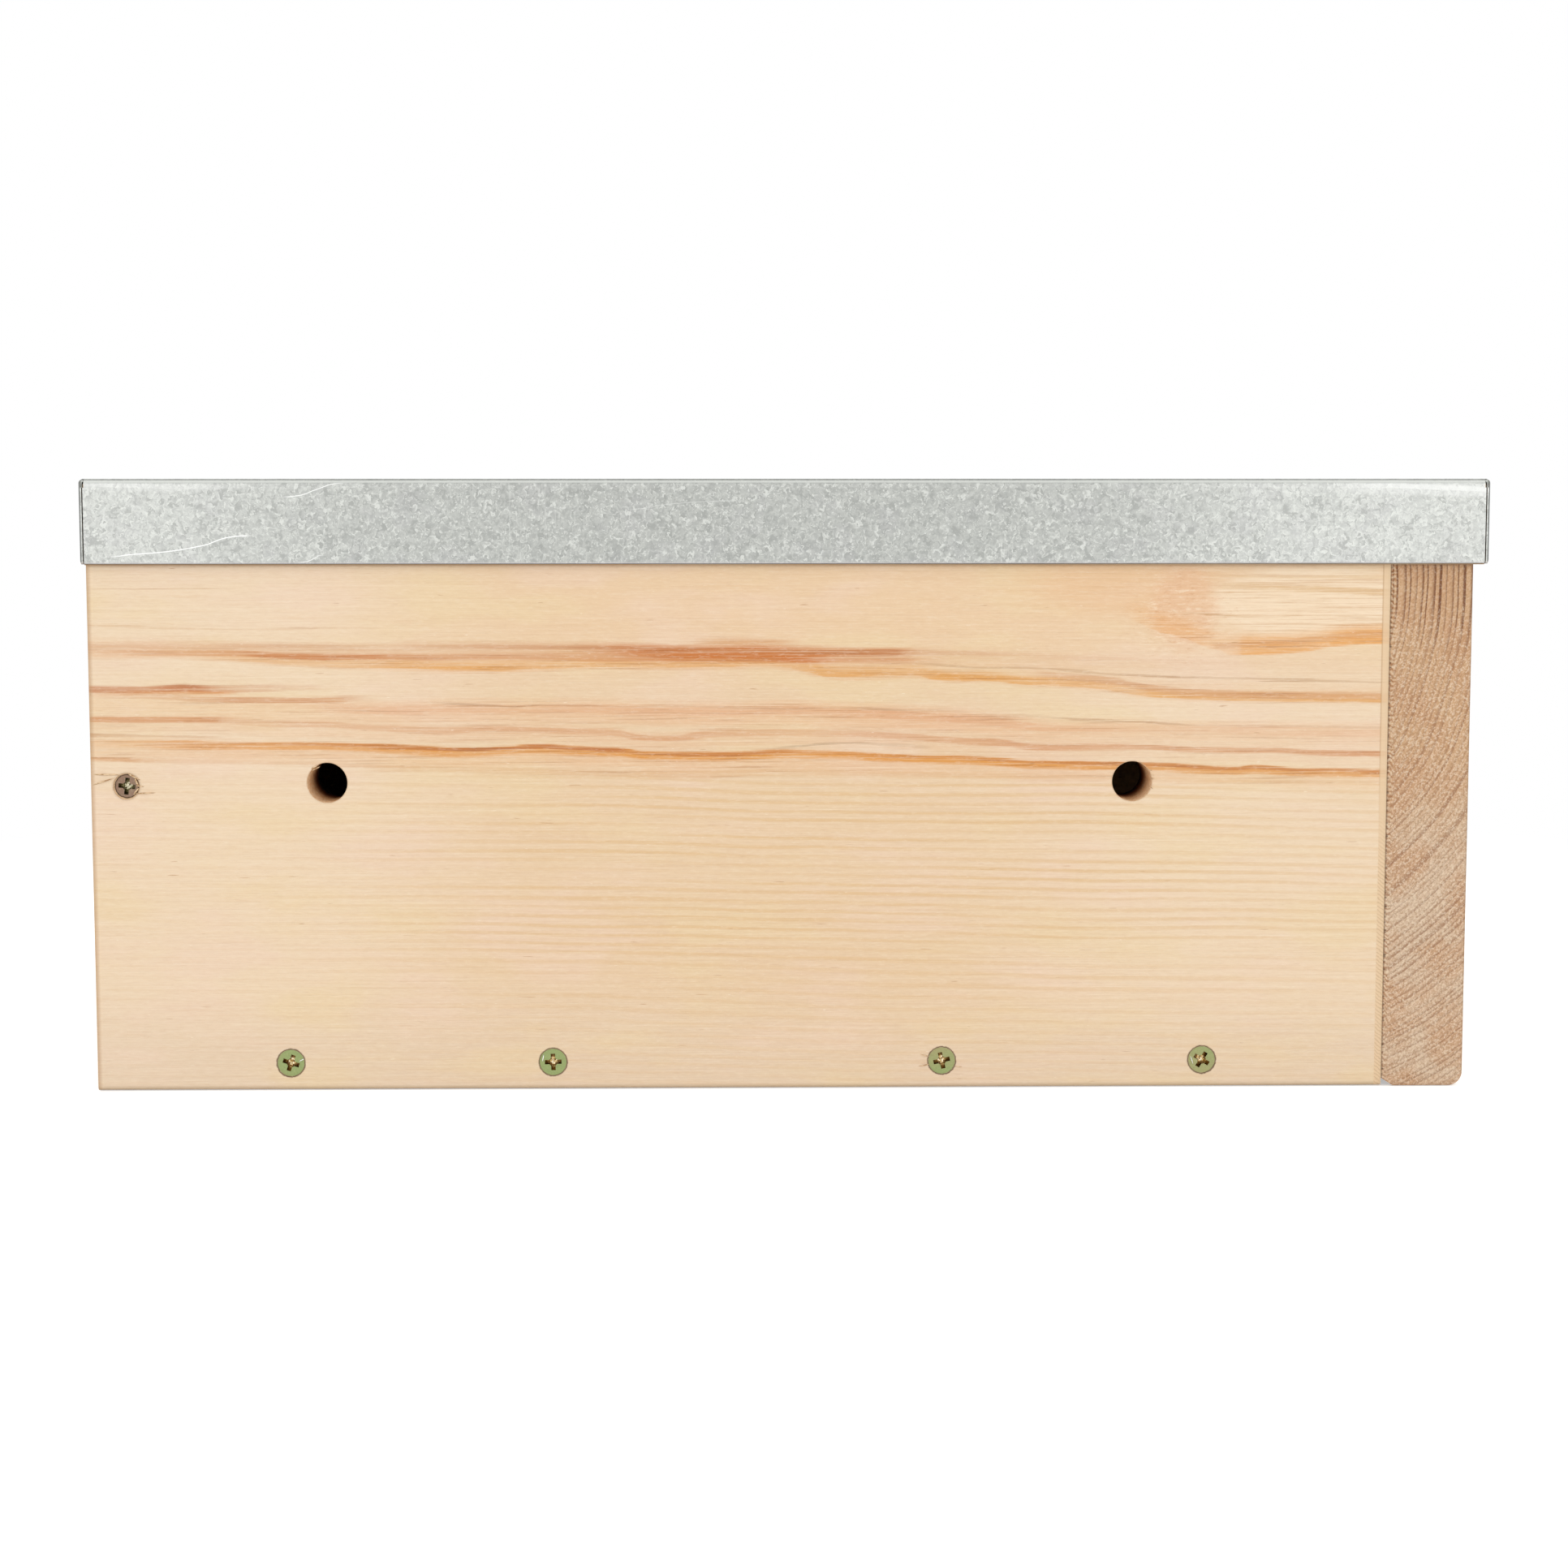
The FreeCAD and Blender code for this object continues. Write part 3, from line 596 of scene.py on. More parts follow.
RESIN_LINE = (
    (83, 119.6), (92, 115.7), (100, 113.4), (106, 111.2), (112, 109.9), (120, 110.0), (130, 110.8),
    (135, 111.7), (141, 112.3), (149.6, 112.4))

WALL_STROKES = (
    Stroke(AMBER_LINE, ((-172.4, 0.3), (-100, 0.45), (-60, 0.6), (20, 0.55), (40, 0.4), (60, 0.3),
                        (110, 0.3), (149, 0.3)), 5.5, 1.6, "E4B586"),
    Stroke(ROSE_LINE, ((-172.4, 0.25), (-108, 0.45), (-60, 0.5), (0, 0.65), (35, 0.7), (66, 0.5),
                       (90, 0.4), (149, 0.35)), 3.0, 5.0, "E8B98F"),
    Stroke(LOWER_LINE, ((-172.4, 0.3), (-100, 0.4), (-40, 0.45), (30, 0.35), (149, 0.2)),
           1.6, 4.4, "E6BA92"),
    Stroke(MAIN_LINE, ((-172.4, 0.4), (-60, 0.55), (60, 0.45), (149, 0.3)), 1.0, 6.0, "E7B98C"),
    Stroke(AMBER_LINE, ((-172.4, 0.1), (-150, 0.25), (-130, 0.4), (-115, 0.35), (-100, 0.55),
                        (-90, 0.8), (-72, 0.8), (-60, 0.5), (-35, 0.55), (-8, 0.6), (0, 0.4), (7, 0.7),
                        (16, 0.75), (30, 0.55), (35, 0.7), (40, 0.95), (55, 0.85), (62, 0.7),
                        (75, 0.6), (85, 0.45), (92, 0.8), (120, 0.75), (149, 0.75)), 2.4, 0.9, "E2A356"),
    Stroke(UPPER_LINE, ((-172.4, 0.1), (-120, 0.15), (-60, 0.25), (-40, 0.65), (-25, 1.0), (0, 1.0),
                        (12, 0.7), (29, 0.55), (35, 0.2), (60, 0.1), (149, 0.0)), 1.7, 3.6, "C8712A"),
    Stroke(UPPER_LINE, ((-172.4, 0.2), (-150, 0.15), (-120, 0.3), (-106, 0.2), (-101, 0.05),
                        (-92, 0.2), (-75, 0.35), (-45, 0.45), (-30, 0.65), (-10, 0.6), (5, 0.85),
                        (12, 0.95), (27, 0.9), (30, 0.3), (45, 0.25), (60, 0.15), (149, 0.0)),
           0.7, 0.9, "BF7843"),
    Stroke(((-172.4, 112.3), (-20, 112.3), (0, 112.0), (149, 112.0)),
           ((-172.4, 0.0), (-30, 0.0), (-14, 0.6), (-6, 0.6), (6, 0.0), (149, 0.0)), 1.0, 1.2, "D2955F"),
    Stroke(MIDDLE_LINE, ((-172.4, 0.1), (-150, 0.3), (-135, 0.5), (-127, 0.85), (-104, 0.85),
                         (-98, 0.6), (-80, 0.55), (-60, 0.4), (-30, 0.35), (-10, 0.15), (5, 0.0),
                         (149, 0.0)), 0.9, 1.0, "CB8149"),
    Stroke(((-172.4, 107.0), (30, 106.5), (45, 105.9), (60, 105.6), (75, 104.5), (90, 103.4),
            (110, 102.8), (149, 101.9)),
           ((-172.4, 0.0), (28, 0.0), (36, 0.35), (60, 0.4), (90, 0.45), (149, 0.45)),
           0.4, 0.5, "B89068"),
    Stroke(((-172.4, 104.6), (62, 104.3), (75, 103.2), (85, 101.8), (92, 100.6), (105, 99.5),
            (120, 99.0), (149, 98.8)),
           ((-172.4, 0.0), (58, 0.0), (66, 0.5), (95, 0.6), (149, 0.6)), 0.6, 1.6, "D29C70"),
    Stroke(((-172.4, 100.5), (-160, 100.2), (-150, 100.9), (-143, 100.5), (-135, 100.6),
            (-125, 100.9), (-110, 101.0), (149, 101.0)),
           ((-172.4, 0.8), (-160, 0.75), (-150, 0.95), (-143, 0.75), (-138, 0.5), (-130, 0.4),
            (-118, 0.2), (-104, 0.0), (149, 0.0)), 1.3, 1.2, "C67F52"),
    Stroke(((-172.4, 99.3), (-155, 99.6), (-140, 99.7), (-130, 99.5), (149, 99.5)),
           ((-172.4, 0.1), (-158, 0.5), (-146, 0.7), (-138, 0.4), (-130, 0.0), (149, 0.0)),
           0.7, 0.7, "D98F4B"),
    Stroke(((-172.4, 99.1), (-155, 98.7), (-140, 98.0), (-130, 97.8), (-120, 97.6), (-112, 97.9),
            (-102, 98.2), (149, 98.2)),
           ((-172.4, 0.05), (-155, 0.3), (-142, 0.4), (-133, 0.7), (-118, 0.7), (-108, 0.4),
            (-98, 0.0), (149, 0.0)), 1.0, 1.0, "CA8858"),
    Stroke(ROSE_LINE, ((-172.4, 0.0), (-125, 0.0), (-108, 0.35), (-60, 0.4), (0, 0.5), (35, 0.6),
                       (55, 0.5), (66, 0.5), (90, 0.3), (149, 0.25)), 1.0, 1.8, "DDA276"),
    Stroke(((-172.4, 97.5), (-88, 96.9), (-75, 96.4), (-68, 96.0), (-60, 96.3), (-45, 95.9),
            (-30, 96.2), (-10, 95.7), (0, 95.4), (12, 95.8), (27, 95.2), (40, 94.8), (55, 94.0),
            (75, 92.6), (90, 91.9), (102, 91.2), (149, 90.6)),
           ((-172.4, 0.0), (-90, 0.0), (-82, 0.5), (-66, 0.55), (-58, 0.2), (-20, 0.15), (-8, 0.4),
            (2, 0.4), (12, 0.15), (24, 0.5), (30, 0.2), (60, 0.1), (76, 0.45), (100, 0.35),
            (104, 0.1), (149, 0.2)), 0.4, 0.4, "A87B55"),
    Stroke(LOWER_LINE, ((-172.4, 0.8), (-142, 0.75), (-138, 0.3), (-120, 0.35), (-112, 0.4),
                        (-100, 0.35), (-60, 0.5), (-42, 0.4), (-36, 0.6), (-28, 0.6), (-15, 0.4),
                        (30, 0.45), (60, 0.65), (100, 0.7), (149, 0.75)), 0.6, 1.4, "D18F5C"),
    Stroke(((-172.4, 89.3), (-160, 88.9), (-150, 88.8), (-140, 88.6), (149, 88.6)),
           ((-172.4, 0.6), (-160, 0.4), (-150, 0.45), (-140, 0.1), (-132, 0.0), (149, 0.0)),
           0.4, 0.7, "C79468"),
    Stroke(MAIN_LINE, ((-172.4, 0.15), (-160, 0.35), (-150, 0.6), (-135, 0.8), (-100, 0.9),
                       (-75, 1.0), (60, 1.0), (95, 0.85), (149, 0.8)), 0.5, 2.2, "DF9A4C"),
    Stroke(MAIN_LINE, ((-172.4, 0.0), (-130, 0.3), (-95, 0.6), (-60, 0.9), (-42, 0.9), (-38, 0.3),
                       (-20, 0.6), (0, 0.5), (8, 0.25), (40, 0.35), (60, 0.5), (149, 0.6)),
           0.4, 0.8, "BC7038"),
    Stroke(((-172.4, 85.6), (-8, 85.6), (3, 86.2), (10, 86.8), (16, 86.8), (24, 86.4), (34, 86.0),
            (149, 84.0)),
           ((-172.4, 0.0), (-8, 0.0), (0, 0.35), (12, 0.45), (22, 0.3), (34, 0.15), (38, 0.0),
            (149, 0.0)), 0.35, 0.45, "A18768"),
    Stroke(((-172.4, 83.6), (-165, 83.4), (-158, 83.0), (-140, 82.6), (-120, 82.1), (-100, 81.4),
            (-85, 81.0), (149, 79.0)),
           ((-172.4, 0.6), (-166, 0.65), (-160, 0.35), (-140, 0.15), (-115, 0.25), (-95, 0.3),
            (-85, 0.0), (149, 0.0)), 0.5, 0.9, "D49A66"),
    Stroke(((-172.4, 81.4), (-110, 81.0), (-90, 80.6), (-70, 80.2), (-50, 79.7), (-35, 79.2),
            (-20, 79.2), (0, 79.9), (12, 79.7), (25, 79.4), (40, 79.0), (60, 78.6), (80, 78.3),
            (149, 77.2)),
           ((-172.4, 0.0), (-110, 0.0), (-100, 0.25), (-60, 0.45), (-20, 0.5), (10, 0.45),
            (40, 0.35), (80, 0.15), (149, 0.1)), 1.1, 1.2, "DDB07F"),
    Stroke(((-172.4, 125.2), (-145, 125.2), (149, 125.0)),
           ((-172.4, 0.0), (-162, 0.3), (-145, 0.3), (-138, 0.0), (149, 0.0)), 0.2, 0.3, "D3A97C"),
    Stroke(((-172.4, 116.3), (-160, 116.0), (-148, 115.5), (-130, 115.2), (-110, 115.8), (-95, 115.6),
            (149, 115.0)),
           ((-172.4, 0.35), (-150, 0.3), (-110, 0.25), (-90, 0.0), (149, 0.0)), 0.2, 0.5, "D3A97C"),
    Stroke(((83, 126.8), (104, 126.2), (125, 125.6), (149.6, 124.3)),
           ((83, 0.0), (103, 0.0), (108, 0.35), (120, 0.5), (149, 0.6)), 0.7, 1.5, "D8AE76"),
    Stroke(((83, 129.0), (108, 128.6), (125, 128.2), (149.6, 128.0)),
           ((83, 0.0), (106, 0.0), (112, 0.3), (149, 0.45)), 0.3, 0.8, "DDB680"),
    Stroke(((83, 119.2), (100, 118.9), (115, 118.2), (130, 118.4), (149.6, 117.6)),
           ((83, 0.0), (98, 0.1), (104, 0.45), (118, 0.3), (149, 0.25)), 0.2, 0.35, "C9A070"),
    Stroke(RESIN_LINE, ((83, 0.0), (90, 0.3), (98, 0.5), (106, 0.35), (112, 0.5), (115, 0.95),
                        (124, 0.9), (132, 0.8), (138, 0.95), (149, 0.95)), 5.0, 1.5, "E8A75E"),
    Stroke(((83, 113.0), (105, 111.2), (112, 111.3), (122, 112.0), (130, 112.8), (140, 113.7),
            (149.6, 114.0)),
           ((83, 0.0), (104, 0.0), (108, 0.45), (125, 0.4), (140, 0.4), (149, 0.35)),
           0.6, 1.3, "CE9668"),
)


# Painted shade on the inner face of every board, in a rough sawn texture from its dark hollows to its light
# ridges.
INSIDE_SHADE_TONES = ("7E6040", "9E7A52")


def shade_inside(surface: Surface, colour: Socket, inward: Place) -> Socket:
    """Lays a rough sawn texture in dark brown over the face that looks into the chamber: painted shade of
    the dim inside.

    Args:
        surface: The material under construction.
        colour: The colour underneath.
        inward: The direction in which that face looks, or all zeros for none.

    Returns:
        The colour with the painted shade on the inner face.
    """
    bench = surface.bench
    along = bench.add("ShaderNodeVectorMath", {0: surface.normal, 1: inward}, operation="DOT_PRODUCT")
    facing = bench.ease(along.outputs["Value"], 0.8, 0.95)
    saw = bench.noise(bench.stretch(surface.place, 0.5, 0.5, 0.5), 1.0, 5.0, 0.7)
    rough = bench.mix(bench.ease(saw, 0.35, 0.65), *map(tone, INSIDE_SHADE_TONES))
    return bench.mix(facing, colour, rough)


@dataclass(frozen=True)
class DrilledWallPine:
    """The planed face of the wall with the hanging holes, drawn line by line."""

    low: Place
    high: Place
    holes: tuple[Place, ...]
    screws: tuple[Place, ...]
    hole_radius: float = 5.0
    head_radius: float = 3.35
    middle_x: float = -12.0
    strip_width: float = 1.75
    bore_shade_depths: Point = (7.5, 16.0)
    bore_deep_depths: Point = (13.5, 19.8)
    ends: str = "EED6B7"
    middle: str = "E9CDAA"
    upper: str = "EBCBA5"
    foot: str = "E6CFB4"
    sawn: str = "D0A985"
    fibre_dark: str = "D9B083"
    fibre_light: str = "F8E6CC"
    rosy: str = "EFD3BC"
    straw: str = "ECD4A8"
    fine_line: str = "E2BE8E"
    flame_warm: str = "E9BF92"
    flame_pale: str = "F6DFC0"
    flame_hair: str = "D2A77B"
    crackle: str = "E8BB94"
    nick_light: str = "F8E2C6"
    nick_dark: str = "D39F74"
    hair_dark: str = "A3683D"
    hair_light: str = "F7E3C6"
    grit_light: str = "F8E7D0"
    grit_dark: str = "CBA079"
    duct: str = "B98A5E"
    fleck: str = "FFF2DE"
    sawn_ring: str = "A87A52"
    speck: str = "EBD3B5"
    worn_edge: str = "B0906C"
    foot_edge: str = "BFA788"
    rear_edge: str = "B98F66"
    torn_strip: str = "E6C8A2"
    torn_hatch: str = "C3A27C"
    crest: str = "B98D61"
    bruise: str = "A9825C"
    # Bore tones: the tan at the mouth is the drilled wood raised as painted light; the brown and the near
    # black deeper in are painted shade.
    bore_lit_tan: str = "EBBE8E"
    bore_lit_pale: str = "FFE4C0"
    bore_shade: str = "8A4F2B"
    bore_black_shade: str = "1E0D06"
    head_gap: str = "5E4429"

    def build(self, effects: SharedEffects) -> bpy.types.Material:
        """Builds the finish.

        Args:
            effects: The shared effects.

        Returns:
            The material.
        """
        surface = Surface("drilled wall pine")
        bench, place = surface.bench, surface.place
        x, _, z = bench.split(place)
        fibre = bench.noise(bench.stretch(place, 0.035, 1.0, 2.4), 1.0, 4.0, 0.7)
        colour = self._ground(bench, place, x, z)
        colour = self._fine_lines(bench, place, colour)
        colour = self._flame(bench, effects, place, colour, fibre)
        face = FaceMap(self.low[0], self.low[2], self.high[0] - self.low[0], self.high[2] - self.low[2])
        threads = bench.noise(bench.stretch(place, 0.02, 0.6, 2.1), 1.0, 5.0, 0.75)
        breakup = bench.math("MULTIPLY", bench.ease(threads, 0.48, 0.66), 0.5)
        colour, presence = surface.strokes(effects, face, WALL_STROKES, colour, breakup, 1.8)
        colour = bench.tint(colour, self.fibre_dark, bench.ease(fibre, 0.5, 0.75), 0.24)
        colour = bench.tint(colour, self.fibre_light, bench.ease(fibre, 0.48, 0.25), 0.3)
        colour = self._hairs(bench, place, colour, presence)
        colour = self._dashes(bench, place, colour)
        colour = self._ends(bench, effects, surface, colour, x)
        colour = self._edges(bench, effects, place, colour, x, z)
        # Painted shade on the face inside the chamber.
        colour = shade_inside(surface, colour, (0.0, 1.0, 0.0))
        colour, bore = self._holes(bench, effects, place, colour)
        rough = bench.math("MULTIPLY_ADD", fibre, 0.16, 0.5)
        relief = bench.math("MULTIPLY_ADD", bore, bench.noise(place, 2.2, 4.0, 0.7), fibre)
        return surface.finish(colour, rough, relief, 0.00012)

    def _ground(self, bench: NodeBench, place: Socket, x: Socket, z: Socket) -> Socket:
        """Mixes the bare wood: paler towards the ends, warmer above and duller at the foot.

        Args:
            bench: The bench of the material's node tree.
            place: The place on the box, in millimetres.
            x: The place along the box.
            z: The height on the box.

        Returns:
            The colour of the bare wood.
        """
        cloud = bench.math("SUBTRACT", bench.noise(bench.stretch(place, 0.012, 0.02, 0.03), 1.0, 2.0), 0.5)
        away = bench.math("MULTIPLY_ADD", cloud, 60.0,
                          bench.math("ABSOLUTE", bench.math("ADD", x, -self.middle_x)))
        inner = bench.ease(away, 118.0, 40.0)
        colour = bench.mix(inner, tone(self.ends), tone(self.middle))
        above = bench.math("MULTIPLY", bench.ease(z, 96.0, 116.0), bench.ease(x, -150.0, -20.0))
        colour = bench.tint(colour, self.upper, above, 0.8)
        below = bench.math("MULTIPLY_ADD", cloud, 20.0, z)
        colour = bench.tint(colour, self.foot, bench.ease(below, 30.0, 4.0), 0.8)
        hue = bench.noise(bench.stretch(place, 0.025, 0.05, 0.07), 1.0, 3.0)
        colour = bench.tint(colour, self.rosy, bench.ease(hue, 0.5, 0.68), 0.45)
        return bench.tint(colour, self.straw, bench.ease(hue, 0.5, 0.32), 0.45)

    def _fine_lines(self, bench: NodeBench, place: Socket, colour: Socket) -> Socket:
        """Draws the fine, nearly straight growth lines of the lower part.

        Args:
            bench: The bench of the material's node tree.
            place: The place on the box, in millimetres.
            colour: The colour underneath.

        Returns:
            The colour with the lines on it.
        """
        x, _, z = bench.split(place)
        wave = bench.noise(bench.stretch(place, 0.011, 0.02, 0.02), 1.0, 2.0)
        height = bench.math("MULTIPLY_ADD", wave, 4.0, bench.math("MULTIPLY_ADD", x, 0.02, z))
        uneven = bench.add("ShaderNodeTexNoise", {"W": height, "Scale": 0.16, "Detail": 2.0},
                           noise_dimensions="1D").outputs["Fac"]
        narrower = bench.math("MULTIPLY", bench.ease(z, 36.0, 8.0), 12.0)
        phase = bench.math("MULTIPLY_ADD", uneven, 2.6, bench.math("MULTIPLY_ADD", height, 2.7, narrower))
        line = bench.ease(bench.math("SINE", phase), -0.2, 1.0)
        fading = bench.ease(bench.noise(bench.stretch(place, 0.01, 0.1, 0.22), 1.0, 2.0), 0.2, 0.62)
        low = bench.ease(z, 81.0, 76.0)
        middle = bench.math("MULTIPLY_ADD", bench.ease(x, -140.0, -40.0), 0.82, 0.18)
        middle = bench.math("MULTIPLY", middle, bench.math("MULTIPLY_ADD", bench.ease(x, 70.0, 140.0),
                                                           -0.4, 1.0))
        bottom = bench.math("MULTIPLY_ADD", bench.ease(z, 14.0, 46.0), 0.65, 0.35)
        share = bench.math("MULTIPLY", bench.math("MULTIPLY", line, fading),
                           bench.math("MULTIPLY", bench.math("MULTIPLY", low, middle), bottom))
        return bench.tint(colour, self.fine_line, share, 0.7)

    def _flame(self, bench: NodeBench, effects: SharedEffects, place: Socket, colour: Socket,
               fibre: Socket) -> Socket:
        """Draws the figure at the upper end, where the board passes close to a knot.

        Args:
            bench: The bench of the material's node tree.
            effects: The shared effects.
            place: The place on the box, in millimetres.
            colour: The colour underneath.
            fibre: The pattern of the fibres, from 0 to 1.

        Returns:
            The colour with the figure on it.
        """
        def spot(centre: Place, reach: Place, softness: float, ragged: float) -> Socket:
            """Returns the mask of one patch."""
            return bench.group(effects.patch, Position=place, Centre=centre, Reach=reach,
                               Softness=softness, Raggedness=ragged)["Mask"]
        warm = spot((84.0, 0.0, 128.0), (26.0, 1.0, 9.5), 0.45, 0.5)
        colour = bench.tint(colour, self.flame_warm, warm, 0.6)
        pale = spot((131.0, 0.0, 121.5), (28.0, 1.0, 8.6), 0.16, 0.3)
        colour = bench.tint(colour, self.flame_pale, pale, 0.9)
        hair = bench.ease(fibre, 0.47, 0.62)
        colour = bench.tint(colour, self.flame_hair, bench.math("MULTIPLY", pale, hair), 0.45)
        crackle = spot((98.5, 0.0, 120.0), (8.0, 1.0, 10.0), 0.3, 0.6)
        colour = bench.tint(colour, self.crackle, crackle, 0.6)
        nicks = bench.noise(bench.stretch(place, 0.42, 1.0, 1.5), 1.0, 4.0, 0.7)
        wide = spot((98.0, 0.0, 118.0), (13.0, 1.0, 11.0), 0.5, 0.8)
        light = bench.math("MULTIPLY", wide, bench.ease(nicks, 0.52, 0.66))
        colour = bench.tint(colour, self.nick_light, light, 0.55)
        dark = bench.math("MULTIPLY", wide, bench.ease(nicks, 0.44, 0.34))
        return bench.tint(colour, self.nick_dark, dark, 0.5)

    def _hairs(self, bench: NodeBench, place: Socket, colour: Socket, presence: Socket) -> Socket:
        """Draws hairlines between the fibres, which crowd inside the growth lines.

        Args:
            bench: The bench of the material's node tree.
            place: The place on the box, in millimetres.
            colour: The colour underneath.
            presence: How strongly a growth line shows at each place.

        Returns:
            The colour with the hairlines on it.
        """
        hair = bench.noise(bench.stretch(place, 0.045, 0.5, 3.4), 1.0, 3.0, 0.6)
        dark = bench.math("MULTIPLY", bench.ease(hair, 0.55, 0.67),
                          bench.math("MULTIPLY_ADD", presence, 0.6, 0.045))
        colour = bench.mix(dark, colour, tone(self.hair_dark))
        light = bench.math("MULTIPLY", bench.ease(hair, 0.44, 0.32),
                           bench.math("MULTIPLY_ADD", presence, 0.3, 0.14))
        colour = bench.mix(light, colour, tone(self.hair_light))
        grit = bench.noise(bench.stretch(place, 0.5, 0.8, 2.6), 1.0, 3.0, 0.6)
        colour = bench.tint(colour, self.grit_light, bench.ease(grit, 0.52, 0.68), 0.18)
        return bench.tint(colour, self.grit_dark, bench.ease(grit, 0.48, 0.34), 0.08)

    def _dashes(self, bench: NodeBench, place: Socket, colour: Socket) -> Socket:
        """Scatters the short resin ducts and small light flecks.

        Args:
            bench: The bench of the material's node tree.
            place: The place on the box, in millimetres.
            colour: The colour underneath.

        Returns:
            The colour with the ducts and flecks on it.
        """
        ducts = bench.noise(bench.stretch(place, 0.16, 1.0, 2.6), 1.0, 1.0)
        colour = bench.tint(colour, self.duct, bench.ease(ducts, 0.77, 0.83), 0.6)
        flecks = bench.noise(bench.stretch(place, 0.5, 0.7, 2.8), 1.0, 1.0)
        return bench.tint(colour, self.fleck, bench.ease(flecks, 0.75, 0.82), 0.5)

    def _ends(self, bench: NodeBench, effects: SharedEffects, surface: Surface, colour: Socket,
              x: Socket) -> Socket:
        """Shows end grain on the sawn ends.

        Args:
            bench: The bench of the material's node tree.
            effects: The shared effects.
            surface: The material under construction.
            colour: The colour underneath.
            x: The place along the box.

        Returns:
            The colour with the end grain on it.
        """
        rings = bench.group(effects.growth_rings, Position=surface.place, Pith=(0.0, -40.0, 152.0),
                            Pitch=2.1, Wander=3.0, Seed=1.0)
        sawn = bench.tint(tone(self.sawn), self.sawn_ring, rings["Latewood"], 0.7)
        sawn = bench.tint(sawn, self.speck, rings["Speck"], 0.5)
        facing = bench.math("ABSOLUTE", bench.split(surface.normal)[0])
        past = bench.math("ABSOLUTE", bench.math("SUBTRACT", x, (self.low[0] + self.high[0]) / 2))
        at_end = bench.ease(past, (self.high[0] - self.low[0]) / 2 - 0.2,
                            (self.high[0] - self.low[0]) / 2 - 0.1)
        return bench.mix(bench.math("MULTIPLY", bench.ease(facing, 0.6, 0.8), at_end), colour, sawn)

    def _edges(self, bench: NodeBench, effects: SharedEffects, place: Socket, colour: Socket,
               x: Socket, z: Socket) -> Socket:
        """Darkens the sawn margins, and draws the torn strip beside the entrance board.

        Args:
            bench: The bench of the material's node tree.
            effects: The shared effects.
            place: The place on the box, in millimetres.
            colour: The colour underneath.
            x: The place along the box.
            z: The height on the box.

        Returns:
            The colour with the edges on it.
        """
        wear = bench.group(effects.edge_wear, Position=place, Low=self.low, High=self.high,
                           Width=0.75, Raggedness=0.5)["Mask"]
        colour = bench.tint(colour, self.worn_edge, wear, 0.45)
        band = bench.math("MULTIPLY", bench.ease(z, 1.5, 0.6), 0.4)
        colour = bench.mix(band, colour, tone(self.foot_edge))
        rear = bench.math("MULTIPLY", bench.ease(x, self.low[0] + 1.3, self.low[0] + 0.5), 0.35)
        colour = bench.mix(rear, colour, tone(self.rear_edge))
        strip_at = self.high[0] - self.strip_width
        strip = bench.ease(x, strip_at - 0.15, strip_at + 0.15)
        colour = bench.tint(colour, self.torn_strip, strip, 0.8)
        slope = bench.math("MULTIPLY_ADD", x, 0.8, z)
        hatch = bench.math("SINE", bench.math("MULTIPLY_ADD", bench.noise(place, 0.8, 2.0), 7.0,
                                              bench.math("MULTIPLY", slope, 6.5)))
        torn = bench.math("MULTIPLY", bench.ease(z, 74.0, 50.0),
                          bench.math("MULTIPLY", strip, bench.ease(hatch, 0.0, 0.9)))
        colour = bench.tint(colour, self.torn_hatch, torn, 0.45)
        crest = bench.math("MULTIPLY", bench.ease(bench.math("ABSOLUTE", bench.math(
            "SUBTRACT", x, strip_at)), 0.3, 0.0), bench.ease(z, 60.0, 95.0))
        return bench.tint(colour, self.crest, crest, 0.5)

    def _holes(self, bench: NodeBench, effects: SharedEffects, place: Socket,
               colour: Socket) -> tuple[Socket, Socket]:
        """Browns the drilled walls of the holes, with painted light near the mouth and painted shade deeper
        in, and bruises the wood around the heads.

        Args:
            bench: The bench of the material's node tree.
            effects: The shared effects.
            place: The place on the box, in millimetres.
            colour: The colour underneath.

        Returns:
            The colour with the holes on it, and the mask of their drilled walls.
        """
        bore = 0.0
        for hole in self.holes:
            marks = bench.group(effects.rim, Position=place, Centre=hole, Radius=self.hole_radius,
                                Width=0.35)
            bore = bench.math("MAXIMUM", marks["Inside"], bore)
            colour = bench.tint(colour, self.bruise, marks["Ring"], 0.3)
        # Tan of the drilled wood near the mouth, partly painted light; with depth it turns to painted
        # shade, brown and then near black.
        rough = bench.noise(bench.stretch(place, 1.6, 0.6, 1.6), 1.0, 4.0, 0.7)
        drilled = bench.mix(bench.ease(rough, 0.3, 0.7), tone(self.bore_lit_tan), tone(self.bore_lit_pale))
        depth = bench.math("SUBTRACT", bench.split(place)[1], self.low[1])
        drilled = bench.mix(bench.ease(depth, *self.bore_shade_depths), drilled, tone(self.bore_shade))
        drilled = bench.mix(bench.ease(depth, *self.bore_deep_depths), drilled, tone(self.bore_black_shade))
        colour = bench.mix(bore, colour, drilled)
        for number, screw in enumerate(self.screws):
            ring = bench.group(effects.rim, Position=place, Centre=screw, Radius=self.head_radius + 0.12,
                               Width=0.36)["Ring"]
            share = 0.95 if number else 0.15
            colour = bench.tint(colour, self.head_gap, ring, share)
        return colour, bore


